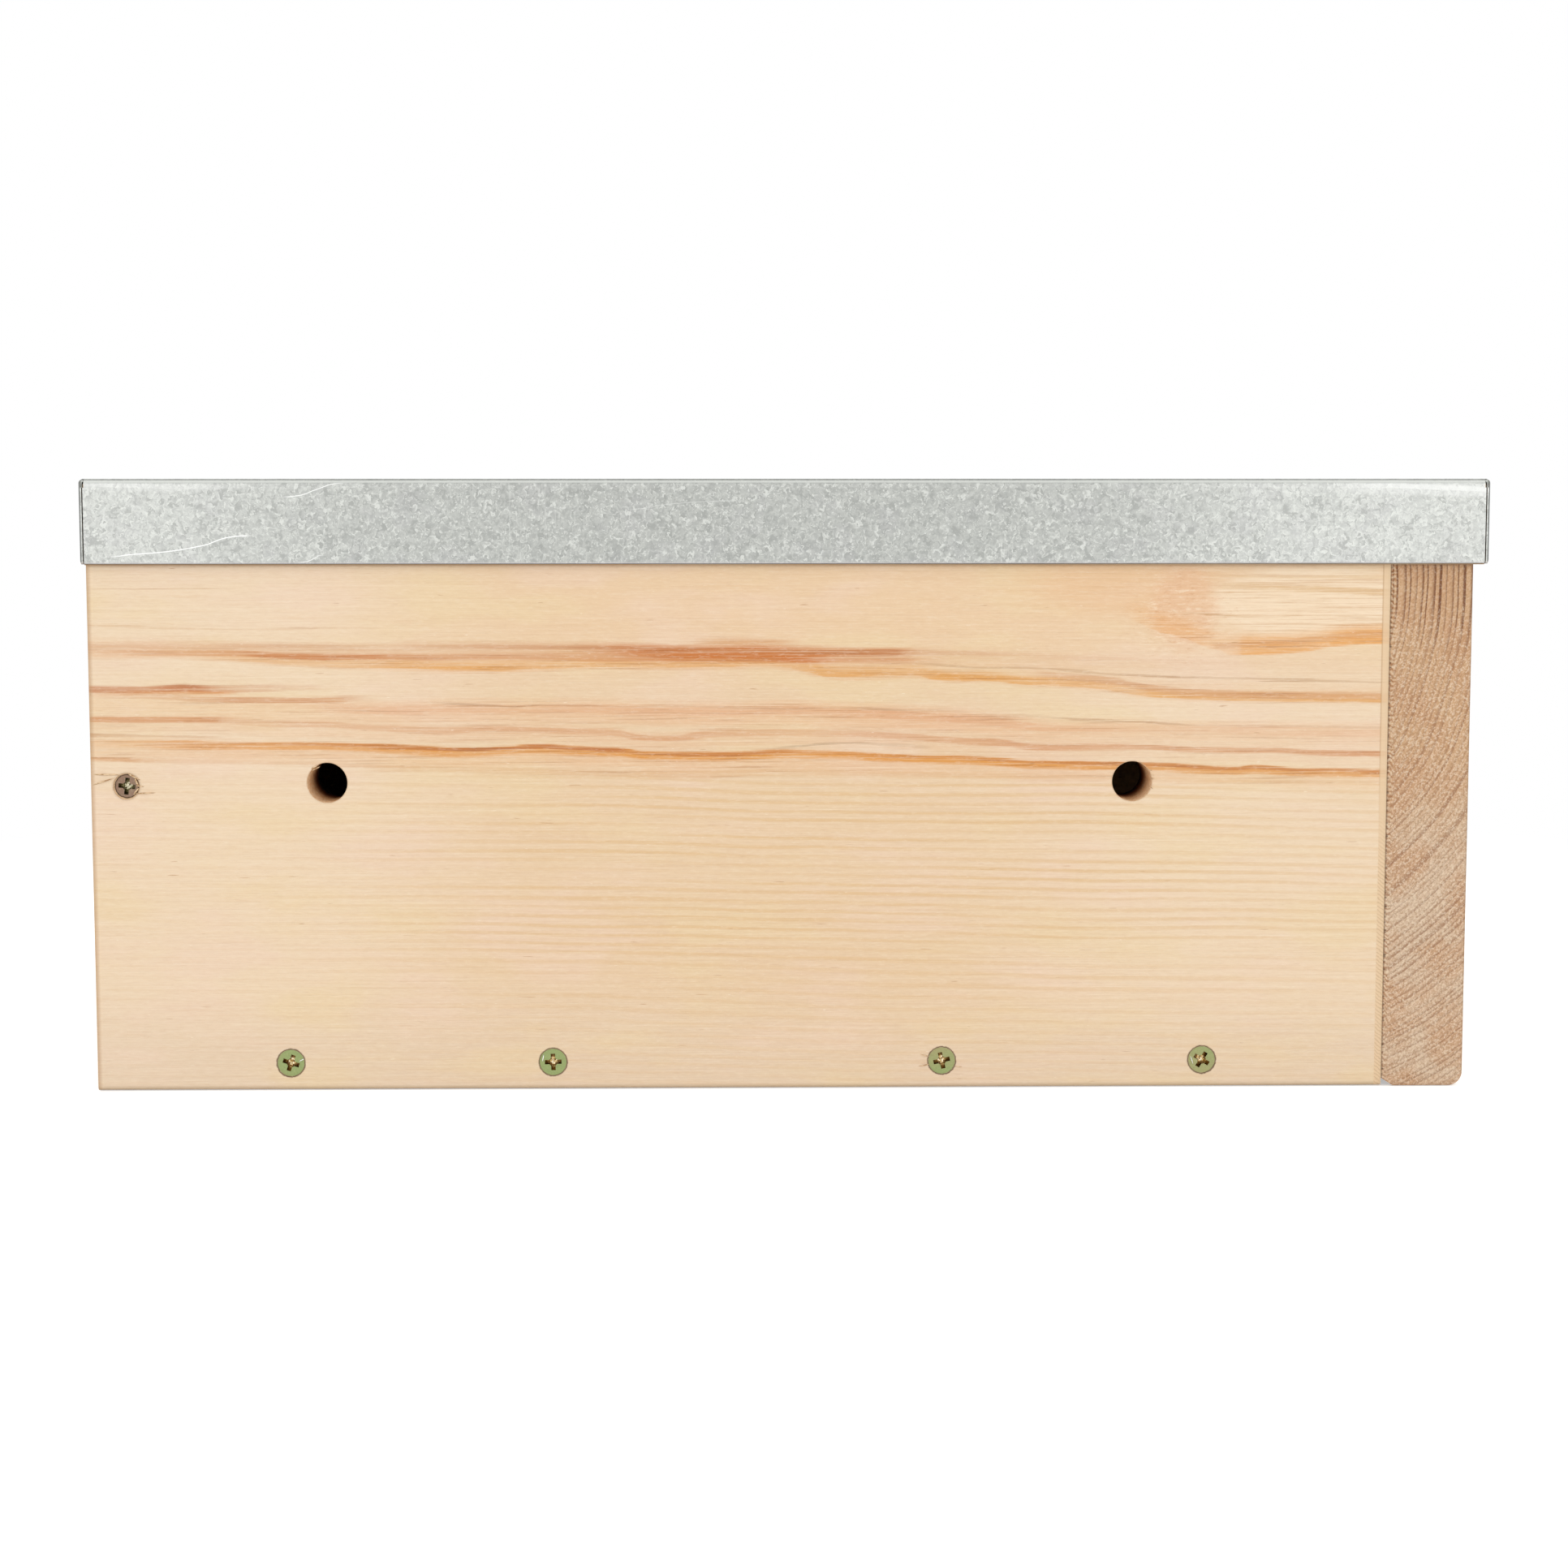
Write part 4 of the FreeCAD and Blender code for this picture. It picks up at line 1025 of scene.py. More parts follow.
@dataclass(frozen=True)
class BoardPine:
    """Planed pine, cut from around its own pith, with end grain on its sawn ends."""

    name: str
    low: Place
    high: Place
    grain: Grain
    pith: Place
    pitch: float
    seed: float
    pale: str = "EFD4B1"
    latewood: str = "DA9E62"
    end_pale: str = "D2AC88"
    end_latewood: str = "A47650"
    cloud: str = "E8C69C"
    fibre: str = "CFA273"
    speck: str = "EBD3B5"
    worn_edge: str = "B0906C"
    contrast: float = 0.6
    inward: Place = (0.0, 0.0, 0.0)

    def build(self, effects: SharedEffects) -> bpy.types.Material:
        """Builds the finish.

        Args:
            effects: The shared effects.

        Returns:
            The material.
        """
        surface = Surface(self.name)
        bench = surface.bench
        x, y, z = bench.split(surface.place)
        normal_x, normal_y, _ = bench.split(surface.normal)
        across = self.grain is Grain.ACROSS
        place = bench.join(y, x, z) if across else surface.place
        rings = bench.group(effects.growth_rings, Position=place, Pith=self.pith, Pitch=self.pitch,
                            Wander=7.0, Seed=self.seed)
        cloud = bench.noise(bench.stretch(place, 0.01, 0.04, 0.04), 1.0, 2.0)
        face = bench.mix(bench.ease(cloud, 0.3, 0.7), tone(self.pale), tone(self.cloud))
        face = bench.tint(face, self.latewood, rings["Latewood"], self.contrast)
        face = bench.tint(face, self.fibre, bench.ease(rings["Fibre"], 0.5, 0.8), 0.35)
        sawn = bench.tint(tone(self.end_pale), self.end_latewood, rings["Latewood"], 0.8)
        sawn = bench.tint(sawn, self.speck, rings["Speck"], 0.5)
        facing = bench.math("ABSOLUTE", normal_y if across else normal_x)
        colour = bench.mix(bench.ease(facing, 0.6, 0.8), face, sawn)
        # Painted shade on the face inside the chamber.
        colour = shade_inside(surface, colour, self.inward)
        wear = bench.group(effects.edge_wear, Position=surface.place, Low=self.low, High=self.high,
                           Width=0.8, Raggedness=0.5)["Mask"]
        colour = bench.tint(colour, self.worn_edge, wear, 0.4)
        rough = bench.math("MULTIPLY_ADD", rings["Fibre"], 0.16, 0.52)
        relief = bench.math("MULTIPLY_ADD", rings["Latewood"], 0.35, rings["Fibre"])
        return surface.finish(colour, rough, relief, 0.00012)


@dataclass(frozen=True)
class EntrancePine:
    """The entrance board: sawn end grain towards the sides, planed face towards the front."""

    low: Place
    high: Place
    pith: Place = (0.0, 86.8, 125.0)
    pitch: float = 1.55
    end: str = "D9B189"
    low_end: str = "DFC4A7"
    ring: str = "8E5A3A"
    face_pale: str = "EFD4B1"
    face_ring: str = "D89C62"
    fibre: str = "CFA273"
    worn_edge: str = "94765A"
    cloud: str = "D0A27B"
    crisp_ring: str = "6E3E22"
    fuzz_light: str = "F4E0C6"
    fuzz_dark: str = "A9784F"
    hook: str = "A36C3F"
    hook_gap: str = "F0D8B6"
    joint: str = "4E2F1A"

    def build(self, effects: SharedEffects) -> bpy.types.Material:
        """Builds the finish.

        Args:
            effects: The shared effects.

        Returns:
            The material.
        """
        surface = Surface("entrance board pine", specular=0.25)
        bench, place = surface.bench, surface.place
        x, y, z = bench.split(place)
        turned = bench.join(y, x, z)
        rings = bench.group(effects.growth_rings, Position=turned, Pith=self.pith, Pitch=self.pitch,
                            Wander=3.5, Seed=3.0)
        face = bench.tint(tone(self.face_pale), self.face_ring, rings["Latewood"], 0.7)
        face = bench.tint(face, self.fibre, bench.ease(rings["Fibre"], 0.5, 0.8), 0.35)
        sawn = self._sawn(bench, place, x, z, rings["Latewood"])
        facing = bench.math("ABSOLUTE", bench.split(surface.normal)[1])
        colour = bench.mix(bench.ease(facing, 0.5, 0.7), face, sawn)
        # Painted shade on the face inside the chamber.
        colour = shade_inside(surface, colour, (-1.0, 0.0, 0.0))
        wear = bench.group(effects.edge_wear, Position=place, Low=self.low, High=self.high, Width=0.5,
                           Raggedness=0.5)["Mask"]
        colour = bench.tint(colour, self.worn_edge, wear, 0.45)
        fuzz = bench.noise(bench.stretch(place, 2.2, 1.0, 2.2), 1.0, 4.0, 0.75)
        relief = bench.math("MULTIPLY_ADD", rings["Latewood"], -0.3, fuzz)
        return surface.finish(colour, bench.math("MULTIPLY_ADD", fuzz, 0.2, 0.6), relief, 0.0003)

    def _sawn(self, bench: NodeBench, place: Socket, x: Socket, z: Socket, latewood: Socket) -> Socket:
        """Draws the fuzzy sawn end: rings that show best at the top, fibres and saw hooks.

        Args:
            bench: The bench of the material's node tree.
            place: The place on the box, in millimetres.
            x: The place along the box.
            z: The height on the box.
            latewood: How dark the growth rings are at each place.

        Returns:
            The colour of the sawn end.
        """
        cloud = bench.noise(place, 0.09, 2.0)
        colour = bench.mix(bench.ease(z, 90.0, 50.0), tone(self.end), tone(self.low_end))
        colour = bench.tint(colour, self.cloud, bench.ease(cloud, 0.35, 0.65), 0.7)
        ragged = bench.noise(bench.stretch(place, 0.9, 0.3, 0.14), 1.0, 3.0, 0.6)
        top = bench.ease(bench.math("MULTIPLY_ADD", ragged, -34.0, z), 92.0, 106.0)
        colour = bench.tint(colour, self.ring, latewood, 0.6)
        crisp = bench.math("MULTIPLY", bench.ease(latewood, 0.3, 0.68), top)
        colour = bench.tint(colour, self.crisp_ring, crisp, 0.85)
        slant = bench.add("ShaderNodeVectorRotate", {"Vector": place, "Angle": math.radians(-38)},
                          rotation_type="Y_AXIS").outputs[0]
        fuzz = bench.noise(bench.stretch(slant, 2.7, 1.0, 2.1), 1.0, 3.0, 0.75)
        strength = bench.math("MULTIPLY_ADD", top, -0.42, 0.68)
        light = bench.math("MULTIPLY", bench.ease(fuzz, 0.51, 0.6), strength)
        colour = bench.mix(light, colour, tone(self.fuzz_light))
        dark = bench.math("MULTIPLY", bench.ease(fuzz, 0.47, 0.36), 0.5)
        colour = bench.mix(dark, colour, tone(self.fuzz_dark))
        return self._margin(bench, place, x, z, colour)

    def _margin(self, bench: NodeBench, place: Socket, x: Socket, z: Socket, colour: Socket) -> Socket:
        """Draws the saw's hooks beside the joint and the dark, dotted joint itself.

        Args:
            bench: The bench of the material's node tree.
            place: The place on the box, in millimetres.
            x: The place along the box.
            z: The height on the box.
            colour: The colour underneath.

        Returns:
            The colour with the hooks and the joint on it.
        """
        curl = bench.noise(bench.stretch(place, 0.35, 0.2, 0.2), 1.0, 4.0, 0.6)
        hooks = bench.math("SINE", bench.math("MULTIPLY_ADD", curl, 24.0, bench.math(
            "MULTIPLY_ADD", bench.math("SUBTRACT", x, self.low[0]), 2.2, bench.math("MULTIPLY", z, 4.9))))
        patches = bench.ease(bench.noise(bench.stretch(place, 0.0, 0.0, 0.13), 1.0, 2.0), 0.3, 0.6)
        margin = bench.math("MULTIPLY", bench.ease(x, self.low[0] + 2.1, self.low[0] + 0.9),
                            bench.math("MULTIPLY_ADD", patches, 0.6, 0.4))
        marks = bench.math("MULTIPLY", margin, bench.ease(hooks, 0.2, 0.95))
        colour = bench.tint(colour, self.hook, marks, 0.55)
        gaps = bench.math("MULTIPLY", margin, bench.ease(hooks, 0.1, -0.9))
        colour = bench.tint(colour, self.hook_gap, gaps, 0.5)
        dots = bench.ease(bench.noise(bench.stretch(place, 0.0, 0.0, 0.8), 1.0, 4.0, 0.75), 0.45, 0.66)
        reach = bench.math("MULTIPLY_ADD", dots, 0.45, self.low[0] + 0.2)
        joint = bench.math("MULTIPLY", bench.ease(bench.math("SUBTRACT", x, reach), 0.2, 0.0),
                           bench.math("MULTIPLY_ADD", dots, 0.6, 0.35))
        return bench.mix(joint, colour, tone(self.joint))


# Scratches of the cap and painted highlights along its top: places along the box and heights, in
# millimetres.
CAP_SCRATCHES_AND_HIGHLIGHTS = (
    Stroke(((-173.4, 133.0), (-165.3, 133.1), (-162.3, 133.5), (-153.4, 134.2), (-143.4, 135.8),
            (-131.7, 138.2), (173.4, 138.2)),
           ((-173.4, 0.0), (-169, 0.0), (-163, 0.9), (-134, 1.0), (-131, 0.0), (173.4, 0.0)),
           0.17, 0.17, "FBFCFA"),
    Stroke(((-173.4, 147.0), (-122.4, 147.7), (-115.4, 149.5), (-107.1, 151.1), (173.4, 151.1)),
           ((-173.4, 0.0), (-124, 0.0), (-122, 0.9), (-110, 0.8), (-106, 0.0), (173.4, 0.0)),
           0.16, 0.16, "F8F9F6"),
    Stroke(((-173.4, 131.5), (-119.3, 131.7), (-116.7, 132.4), (-114.1, 133.4), (173.4, 133.4)),
           ((-173.4, 0.0), (-121, 0.0), (-119, 0.7), (-115, 0.7), (-113.5, 0.0), (173.4, 0.0)),
           0.15, 0.15, "F6F7F4"),
    Stroke(((-173.4, 143.5), (-40, 144.5), (-28, 146.0), (-12, 146.8), (173.4, 147.0)),
           ((-173.4, 0.0), (-42, 0.0), (-34, 0.35), (-16, 0.3), (-10, 0.0), (173.4, 0.0)),
           0.15, 0.15, "ECEEEA"),
    # The last two lines are painted highlights: soft bands of lamp reflection along the top of the apron.
    Stroke(((-173.4, 150.7), (120, 150.5), (146, 150.1), (160, 149.7), (173.4, 149.0)),
           ((-173.4, 0.2), (-150, 0.15), (-130, 0.0), (110, 0.0), (132, 0.1), (146, 0.3),
            (173.4, 0.42)), 2.6, 2.2, "F1F2EF"),
    Stroke(((-173.4, 150.9), (-143, 150.1), (-132, 150.4), (130, 150.4), (146, 150.4), (160, 150.0),
            (173.4, 149.4)),
           ((-173.4, 0.3), (-150, 0.25), (-132, 0.1), (-60, 0.05), (60, 0.05), (132, 0.15),
            (146, 0.4), (173.4, 0.5)), 0.9, 0.8, "F6F7F4"),
)


@dataclass(frozen=True)
class GalvanisedSheet:
    """Zinc-coated sheet: a light spangle, a few handling scratches, and painted highlights, reflections and
    shade on its face, bends and cut edge.
    """

    low: Place
    high: Place
    flake: float = 1.6
    middle_x: float = -12.0
    bend_height: float = 1.3
    middle_tones: tuple[str, str] = ("B0B2AE", "C7C9C4")
    # Lighter tones towards both ends: painted reflection of the two side lamps.
    end_reflection_tones: tuple[str, str] = ("C5C7C3", "E0E2DD")
    cast: str = "BBB9BC"
    shaded_flake: str = "9A9C98"
    bright: str = "E4E6E1"
    # Edge tones: painted reflections along the bends and corners, partly duller zinc at the bend, and a
    # painted highlight and painted shade at the cut edge.
    bend_dull_and_dark_reflection: str = "8A8C87"
    bend_highlight: str = "CFD1CC"
    bend_dark_reflection: str = "5C5E59"
    corner_dark_reflection: str = "4F514D"
    hem_highlight: str = "C9C4C2"
    cut_edge_shade: str = "55534F"

    def build(self, effects: SharedEffects) -> bpy.types.Material:
        """Builds the finish.

        Args:
            effects: The shared effects.

        Returns:
            The material.
        """
        surface = Surface("galvanised sheet", metallic=1.0)
        bench, place = surface.bench, surface.place
        x, y, z = bench.split(place)
        flakes = bench.group(effects.spangle, Position=place, Flake=self.flake)
        shade = bench.ease(flakes["Tone"], 0.28, 0.72)
        middle = bench.mix(shade, tone(self.middle_tones[0]), tone(self.middle_tones[1]))
        # Painted reflection of the side lamps: the sheet grows lighter away from the middle.
        ends = bench.mix(shade, tone(self.end_reflection_tones[0]), tone(self.end_reflection_tones[1]))
        haze = bench.math("SUBTRACT", bench.noise(place, 0.02, 2.0), 0.5)
        away = bench.math("MULTIPLY_ADD", haze, 50.0,
                          bench.math("ABSOLUTE", bench.math("ADD", x, -self.middle_x)))
        colour = bench.mix(bench.ease(away, 60.0, 165.0), middle, ends)
        cast = bench.noise(place, 0.12, 2.0)
        colour = bench.tint(colour, self.cast, bench.ease(cast, 0.5, 0.65), 0.14)
        # Painted shade and painted highlights on the crystals; the bright tone also colours the real
        # scratches.
        colour = bench.tint(colour, self.shaded_flake, flakes["Shade"], 0.3)
        colour = bench.tint(colour, self.bright, flakes["PaintedHighlight"], 0.5)
        face = FaceMap(self.low[0], self.low[2], self.high[0] - self.low[0], self.high[2] - self.low[2])
        # Scratches and painted highlights, on the front face only.
        lines, _ = surface.strokes(effects, face, CAP_SCRATCHES_AND_HIGHLIGHTS, colour, 0.0, 0.0)
        front = bench.ease(y, self.low[1] + 0.3, self.low[1] + 0.1)
        colour = bench.mix(front, colour, lines)
        colour = self._rubs(bench, place, colour)
        upright = bench.ease(bench.split(surface.normal)[2], 0.97, 0.75)
        colour = self._edges(bench, effects, place, colour, z, upright)
        rough = bench.math("MULTIPLY_ADD", flakes["Tone"], 0.18, 0.38)
        return surface.finish(colour, rough, flakes["Relief"], 0.00003)

    def _rubs(self, bench: NodeBench, place: Socket, colour: Socket) -> Socket:
        """Scatters the faint, long scratches that handling leaves on every face.

        Args:
            bench: The bench of the material's node tree.
            place: The place on the box, in millimetres.
            colour: The colour underneath.

        Returns:
            The colour with the scratches on it.
        """
        for turn, share in ((24.0, 0.3), (-61.0, 0.22)):
            turned = bench.add("ShaderNodeVectorRotate", {
                "Vector": place, "Angle": math.radians(turn)}, rotation_type="Z_AXIS").outputs[0]
            long = bench.noise(bench.stretch(turned, 0.012, 0.8, 0.012), 1.0, 2.0)
            thin = bench.math("ABSOLUTE", bench.math("SUBTRACT", long, 0.5))
            some = bench.ease(bench.noise(bench.stretch(place, 0.02, 0.02, 0.02), 1.0, 1.0), 0.52, 0.66)
            mask = bench.math("MULTIPLY", bench.ease(thin, 0.006, 0.0), some)
            colour = bench.tint(colour, self.bright, mask, share)
        return colour

    def _edges(self, bench: NodeBench, effects: SharedEffects, place: Socket, colour: Socket,
               z: Socket, upright: Socket) -> Socket:
        """Draws painted reflections along the bends and corners, a painted highlight above the cut edge and
        painted shade on it.

        Args:
            bench: The bench of the material's node tree.
            effects: The shared effects.
            place: The place on the box, in millimetres.
            colour: The colour underneath.
            z: The height on the box.
            upright: 1 on the upright faces and 0 on the top.

        Returns:
            The colour with the edges on it.
        """
        def line(value: Socket, centre: float, width: float, share: float, code: str,
                 under: Socket) -> Socket:
            """Draws one line over a colour.

            Args:
                value: The measure that the line is drawn at.
                centre: Where the line's middle lies on it.
                width: Half the line's width.
                share: How strongly the line shows.
                code: The line's tone.
                under: The colour underneath.

            Returns:
                The colour with the line on it.
            """
            off = bench.math("ABSOLUTE", bench.math("SUBTRACT", value, centre))
            mask = bench.math("MULTIPLY", bench.ease(off, width, width * 0.4), share)
            return bench.tint(under, code, mask, upright)
        # Darker band at the bend, partly duller zinc and partly painted reflection of the dim room above,
        # then a painted highlight and a painted dark reflection line.
        bend_foot = self.high[2] - self.bend_height
        bend = bench.math("MULTIPLY", bench.ease(z, bend_foot, bend_foot + 0.3), upright)
        colour = bench.tint(colour, self.bend_dull_and_dark_reflection, bend, 0.35)
        colour = line(z, self.high[2] - 0.75, 0.4, 0.8, self.bend_highlight, colour)
        colour = line(z, self.high[2] - 0.12, 0.3, 0.8, self.bend_dark_reflection, colour)
        endless = 1000.0
        corner = bench.group(
            effects.edge_wear, Position=place, Low=(self.low[0], self.low[1], -endless),
            High=(self.high[0], self.high[1], endless))["Distance"]
        # Painted dark reflection along the rounded corners.
        colour = line(corner, 0.0, 0.42, 0.85, self.corner_dark_reflection, colour)
        # Painted highlight on the fold above the cut edge, and painted shade on the cut edge itself.
        margin = bench.ease(z, self.low[2] + 0.6, self.low[2] + 0.3)
        colour = bench.tint(colour, self.hem_highlight, margin, 0.6)
        cut = bench.ease(z, self.low[2] + 0.25, self.low[2] + 0.08)
        return bench.tint(colour, self.cut_edge_shade, cut, 0.85)


class Plating(Enum):
    """The state of a screw's plating: two tones of the head and two of its recess."""

    # The dark recess tones are partly the bronze of the plating and partly painted shade of the deep recess
    # arms.
    FRESH = ("919F6C", "9E9B70", "7D6232", "BA9C5E")
    SCUFFED = ("9A8371", "917564", "635A3F", "A09976")


@dataclass(frozen=True)
class PlatedScrew:
    """Passivated zinc on a countersunk screw, with a bronze tone down in the recess that is partly painted
    shade, and a painted glint.
    """

    name: str
    plating: Plating
    face: float
    normal: Place
    centre: Place = (0.0, 0.0, 0.0)
    clear_radius: float | None = None
    rub_light: str = "B4BD96"
    rub_dark: str = "6C7448"
    glint: str = "F6EFD6"
    seat: str = "DDBE98"
    gap: str = "4C3A28"

    def build(self, effects: SharedEffects) -> bpy.types.Material:
        """Builds the finish.

        Args:
            effects: The shared effects.

        Returns:
            The material.
        """
        surface = Surface(self.name, metallic=1.0)
        bench, place = surface.bench, surface.place
        spread = bench.vector("ABSOLUTE", bench.vector("MULTIPLY", place, self.normal))
        depth = bench.math("SUBTRACT", self.face, bench.length(spread))
        clean, stained, recess, gold = self.plating.value
        stain = bench.noise(place, 0.05, 3.0)
        colour = bench.mix(bench.ease(stain, 0.4, 0.6), tone(clean), tone(stained))
        rub = bench.noise(place, 2.4, 3.0, 0.7)
        colour = bench.tint(colour, self.rub_light, bench.ease(rub, 0.55, 0.72), 0.45)
        colour = bench.tint(colour, self.rub_dark, bench.ease(rub, 0.45, 0.3), 0.45)
        down = bench.ease(depth, 0.01, 0.07)
        metal = bench.mix(bench.ease(depth, 0.9, 2.1), tone(recess), tone(gold))
        # Painted glint in the bottom of the recess.
        glint = bench.math("MULTIPLY", bench.ease(rub, 0.46, 0.58), bench.ease(depth, 0.7, 1.5))
        metal = bench.tint(metal, self.glint, glint, 0.75)
        colour = bench.mix(down, colour, metal)
        if self.clear_radius is not None:
            rim = bench.group(effects.rim, Position=place, Centre=self.centre,
                              Radius=self.clear_radius, Width=0.25)
            covered = bench.math("SUBTRACT", 1.0, rim["Inside"])
            colour = bench.mix(covered, colour, tone(self.seat))
            colour = bench.mix(rim["Ring"], colour, tone(self.gap))
            bench.feed(surface.shader.inputs["Metallic"], rim["Inside"])
        rough = bench.math("SUBTRACT", 0.45, bench.math("MULTIPLY", down, 0.25))
        return surface.finish(colour, rough, rub, 0.00003)


@dataclass(frozen=True)
class BurrMetal:
    """Bright metal where a driver has raised a burr."""

    bright: str = "F2F4EE"
    dull: str = "9C9F92"

    def build(self, effects: SharedEffects) -> bpy.types.Material:
        """Builds the finish.

        Args:
            effects: The shared effects; not used.

        Returns:
            The material.
        """
        surface = Surface("burr metal", metallic=1.0)
        bench = surface.bench
        patch = bench.noise(surface.place, 2.6, 3.0)
        colour = bench.mix(bench.ease(patch, 0.45, 0.7), tone(self.bright), tone(self.dull))
        return surface.finish(colour, bench.math("MULTIPLY_ADD", patch, 0.3, 0.2), patch, 0.00002)


@dataclass(frozen=True)
class TornFibreWood:
    """The paler, rougher wood of a torn fibre."""

    pale: str = "E6CBA5"
    dark: str = "A97F56"

    def build(self, effects: SharedEffects) -> bpy.types.Material:
        """Builds the finish.

        Args:
            effects: The shared effects; not used.

        Returns:
            The material.
        """
        surface = Surface("torn fibre wood", specular=0.2)
        bench = surface.bench
        grain = bench.noise(bench.stretch(surface.place, 0.8, 3.0, 3.0), 1.0, 3.0)
        colour = bench.mix(bench.ease(grain, 0.4, 0.65), tone(self.pale), tone(self.dark))
        return surface.finish(colour, bench.math("MULTIPLY_ADD", grain, 0.2, 0.65), grain, 0.00005)


def dress(node: str, material: bpy.types.Material) -> None:
    """Gives a CAD node its finish in every material slot.

    Args:
        node: The CAD node's name.
        material: The finish.
    """
    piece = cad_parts[node]
    for slot in piece.material_slots:
        slot.material = material
    log.info("dressed %s with %s", node, material.name)


@dataclass
class Sliver:
    """A thin curved shaving: where it starts and ends, how far it lifts and how wide it is.

    Places are millimetres in the frame of the box, and the lift is towards -Y.
    """

    start: Place
    end: Place
    lift: float
    width: float


@dataclass
class ShavingSet:
    """A set of slivers modelled as one piece."""

    name: str
    slot: str
    slivers: list[Sliver] = field(default_factory=list)
    rings: int = 7
    flatness: float = 0.55

    def build(self, material: bpy.types.Material) -> bpy.types.Object:
        """Models every sliver and joins them.

        Args:
            material: The finish of the piece.

        Returns:
            The finished piece, riding on the box.
        """
        made = [self._model(sliver) for sliver in self.slivers]
        bpy.ops.object.select_all(action="DESELECT")
        for item in made:
            item.select_set(True)
        bpy.context.view_layer.objects.active = made[0]
        bpy.ops.object.join()
        piece = bpy.context.object
        piece.name = self.name
        bpy.ops.object.transform_apply(location=True, rotation=True, scale=True)
        bpy.ops.object.shade_smooth()
        piece.data.materials.clear()
        piece.data.materials.append(material)
        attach(piece, "root")
        log.info("made %s: %d faces", piece.name, len(piece.data.polygons))
        return piece

    def _model(self, sliver: Sliver) -> bpy.types.Object:
        """Shapes one sliver from a tapered bar.

        Args:
            sliver: The sliver.

        Returns:
            The sliver, in its place.
        """
        start, end = (Vector(point) / MILLIMETRES for point in (sliver.start, sliver.end))
        line = end - start
        bpy.ops.object.select_all(action="DESELECT")
        bpy.ops.mesh.primitive_cylinder_add(
            vertices=6, radius=sliver.width / 2 / MILLIMETRES, depth=line.length,
            location=(start + end) / 2, rotation=line.to_track_quat("Z", "Y").to_euler())
        item = bpy.context.object
        bpy.ops.object.transform_apply(location=True, rotation=True, scale=True)
        direction = line.normalized()
        bpy.ops.object.mode_set(mode="EDIT")
        for step in range(1, self.rings):
            bpy.ops.mesh.select_all(action="SELECT")
            bpy.ops.mesh.bisect(plane_co=start + line * step / self.rings, plane_no=direction)
        for step in range(self.rings + 1):
            share = step / self.rings
            self._select_ring(item, start + line * share, direction)
            taper = max(0.08, math.sin(math.pi * (0.12 + 0.86 * share)) ** 0.7)
            bpy.ops.transform.resize(value=(taper, taper * self.flatness, taper),
                                     center_override=start + line * share)
            rise = -sliver.lift / MILLIMETRES * math.sin(math.pi * share)
            bpy.ops.transform.translate(value=(0.0, rise, 0.0))
        bpy.ops.object.mode_set(mode="OBJECT")
        return item

    @staticmethod
    def _select_ring(item: bpy.types.Object, centre: Vector, direction: Vector) -> None:
        """Selects the points of a bar that lie across it at one place.

        Args:
            item: The bar, in edit mode.
            centre: The place, on the bar's axis.
            direction: The direction of the bar's axis.
        """
        bpy.ops.mesh.select_all(action="DESELECT")
        bpy.ops.object.mode_set(mode="OBJECT")
        for vertex in item.data.vertices:
            vertex.select = abs((vertex.co - centre).dot(direction)) < RING_TOLERANCE
        bpy.ops.object.mode_set(mode="EDIT")


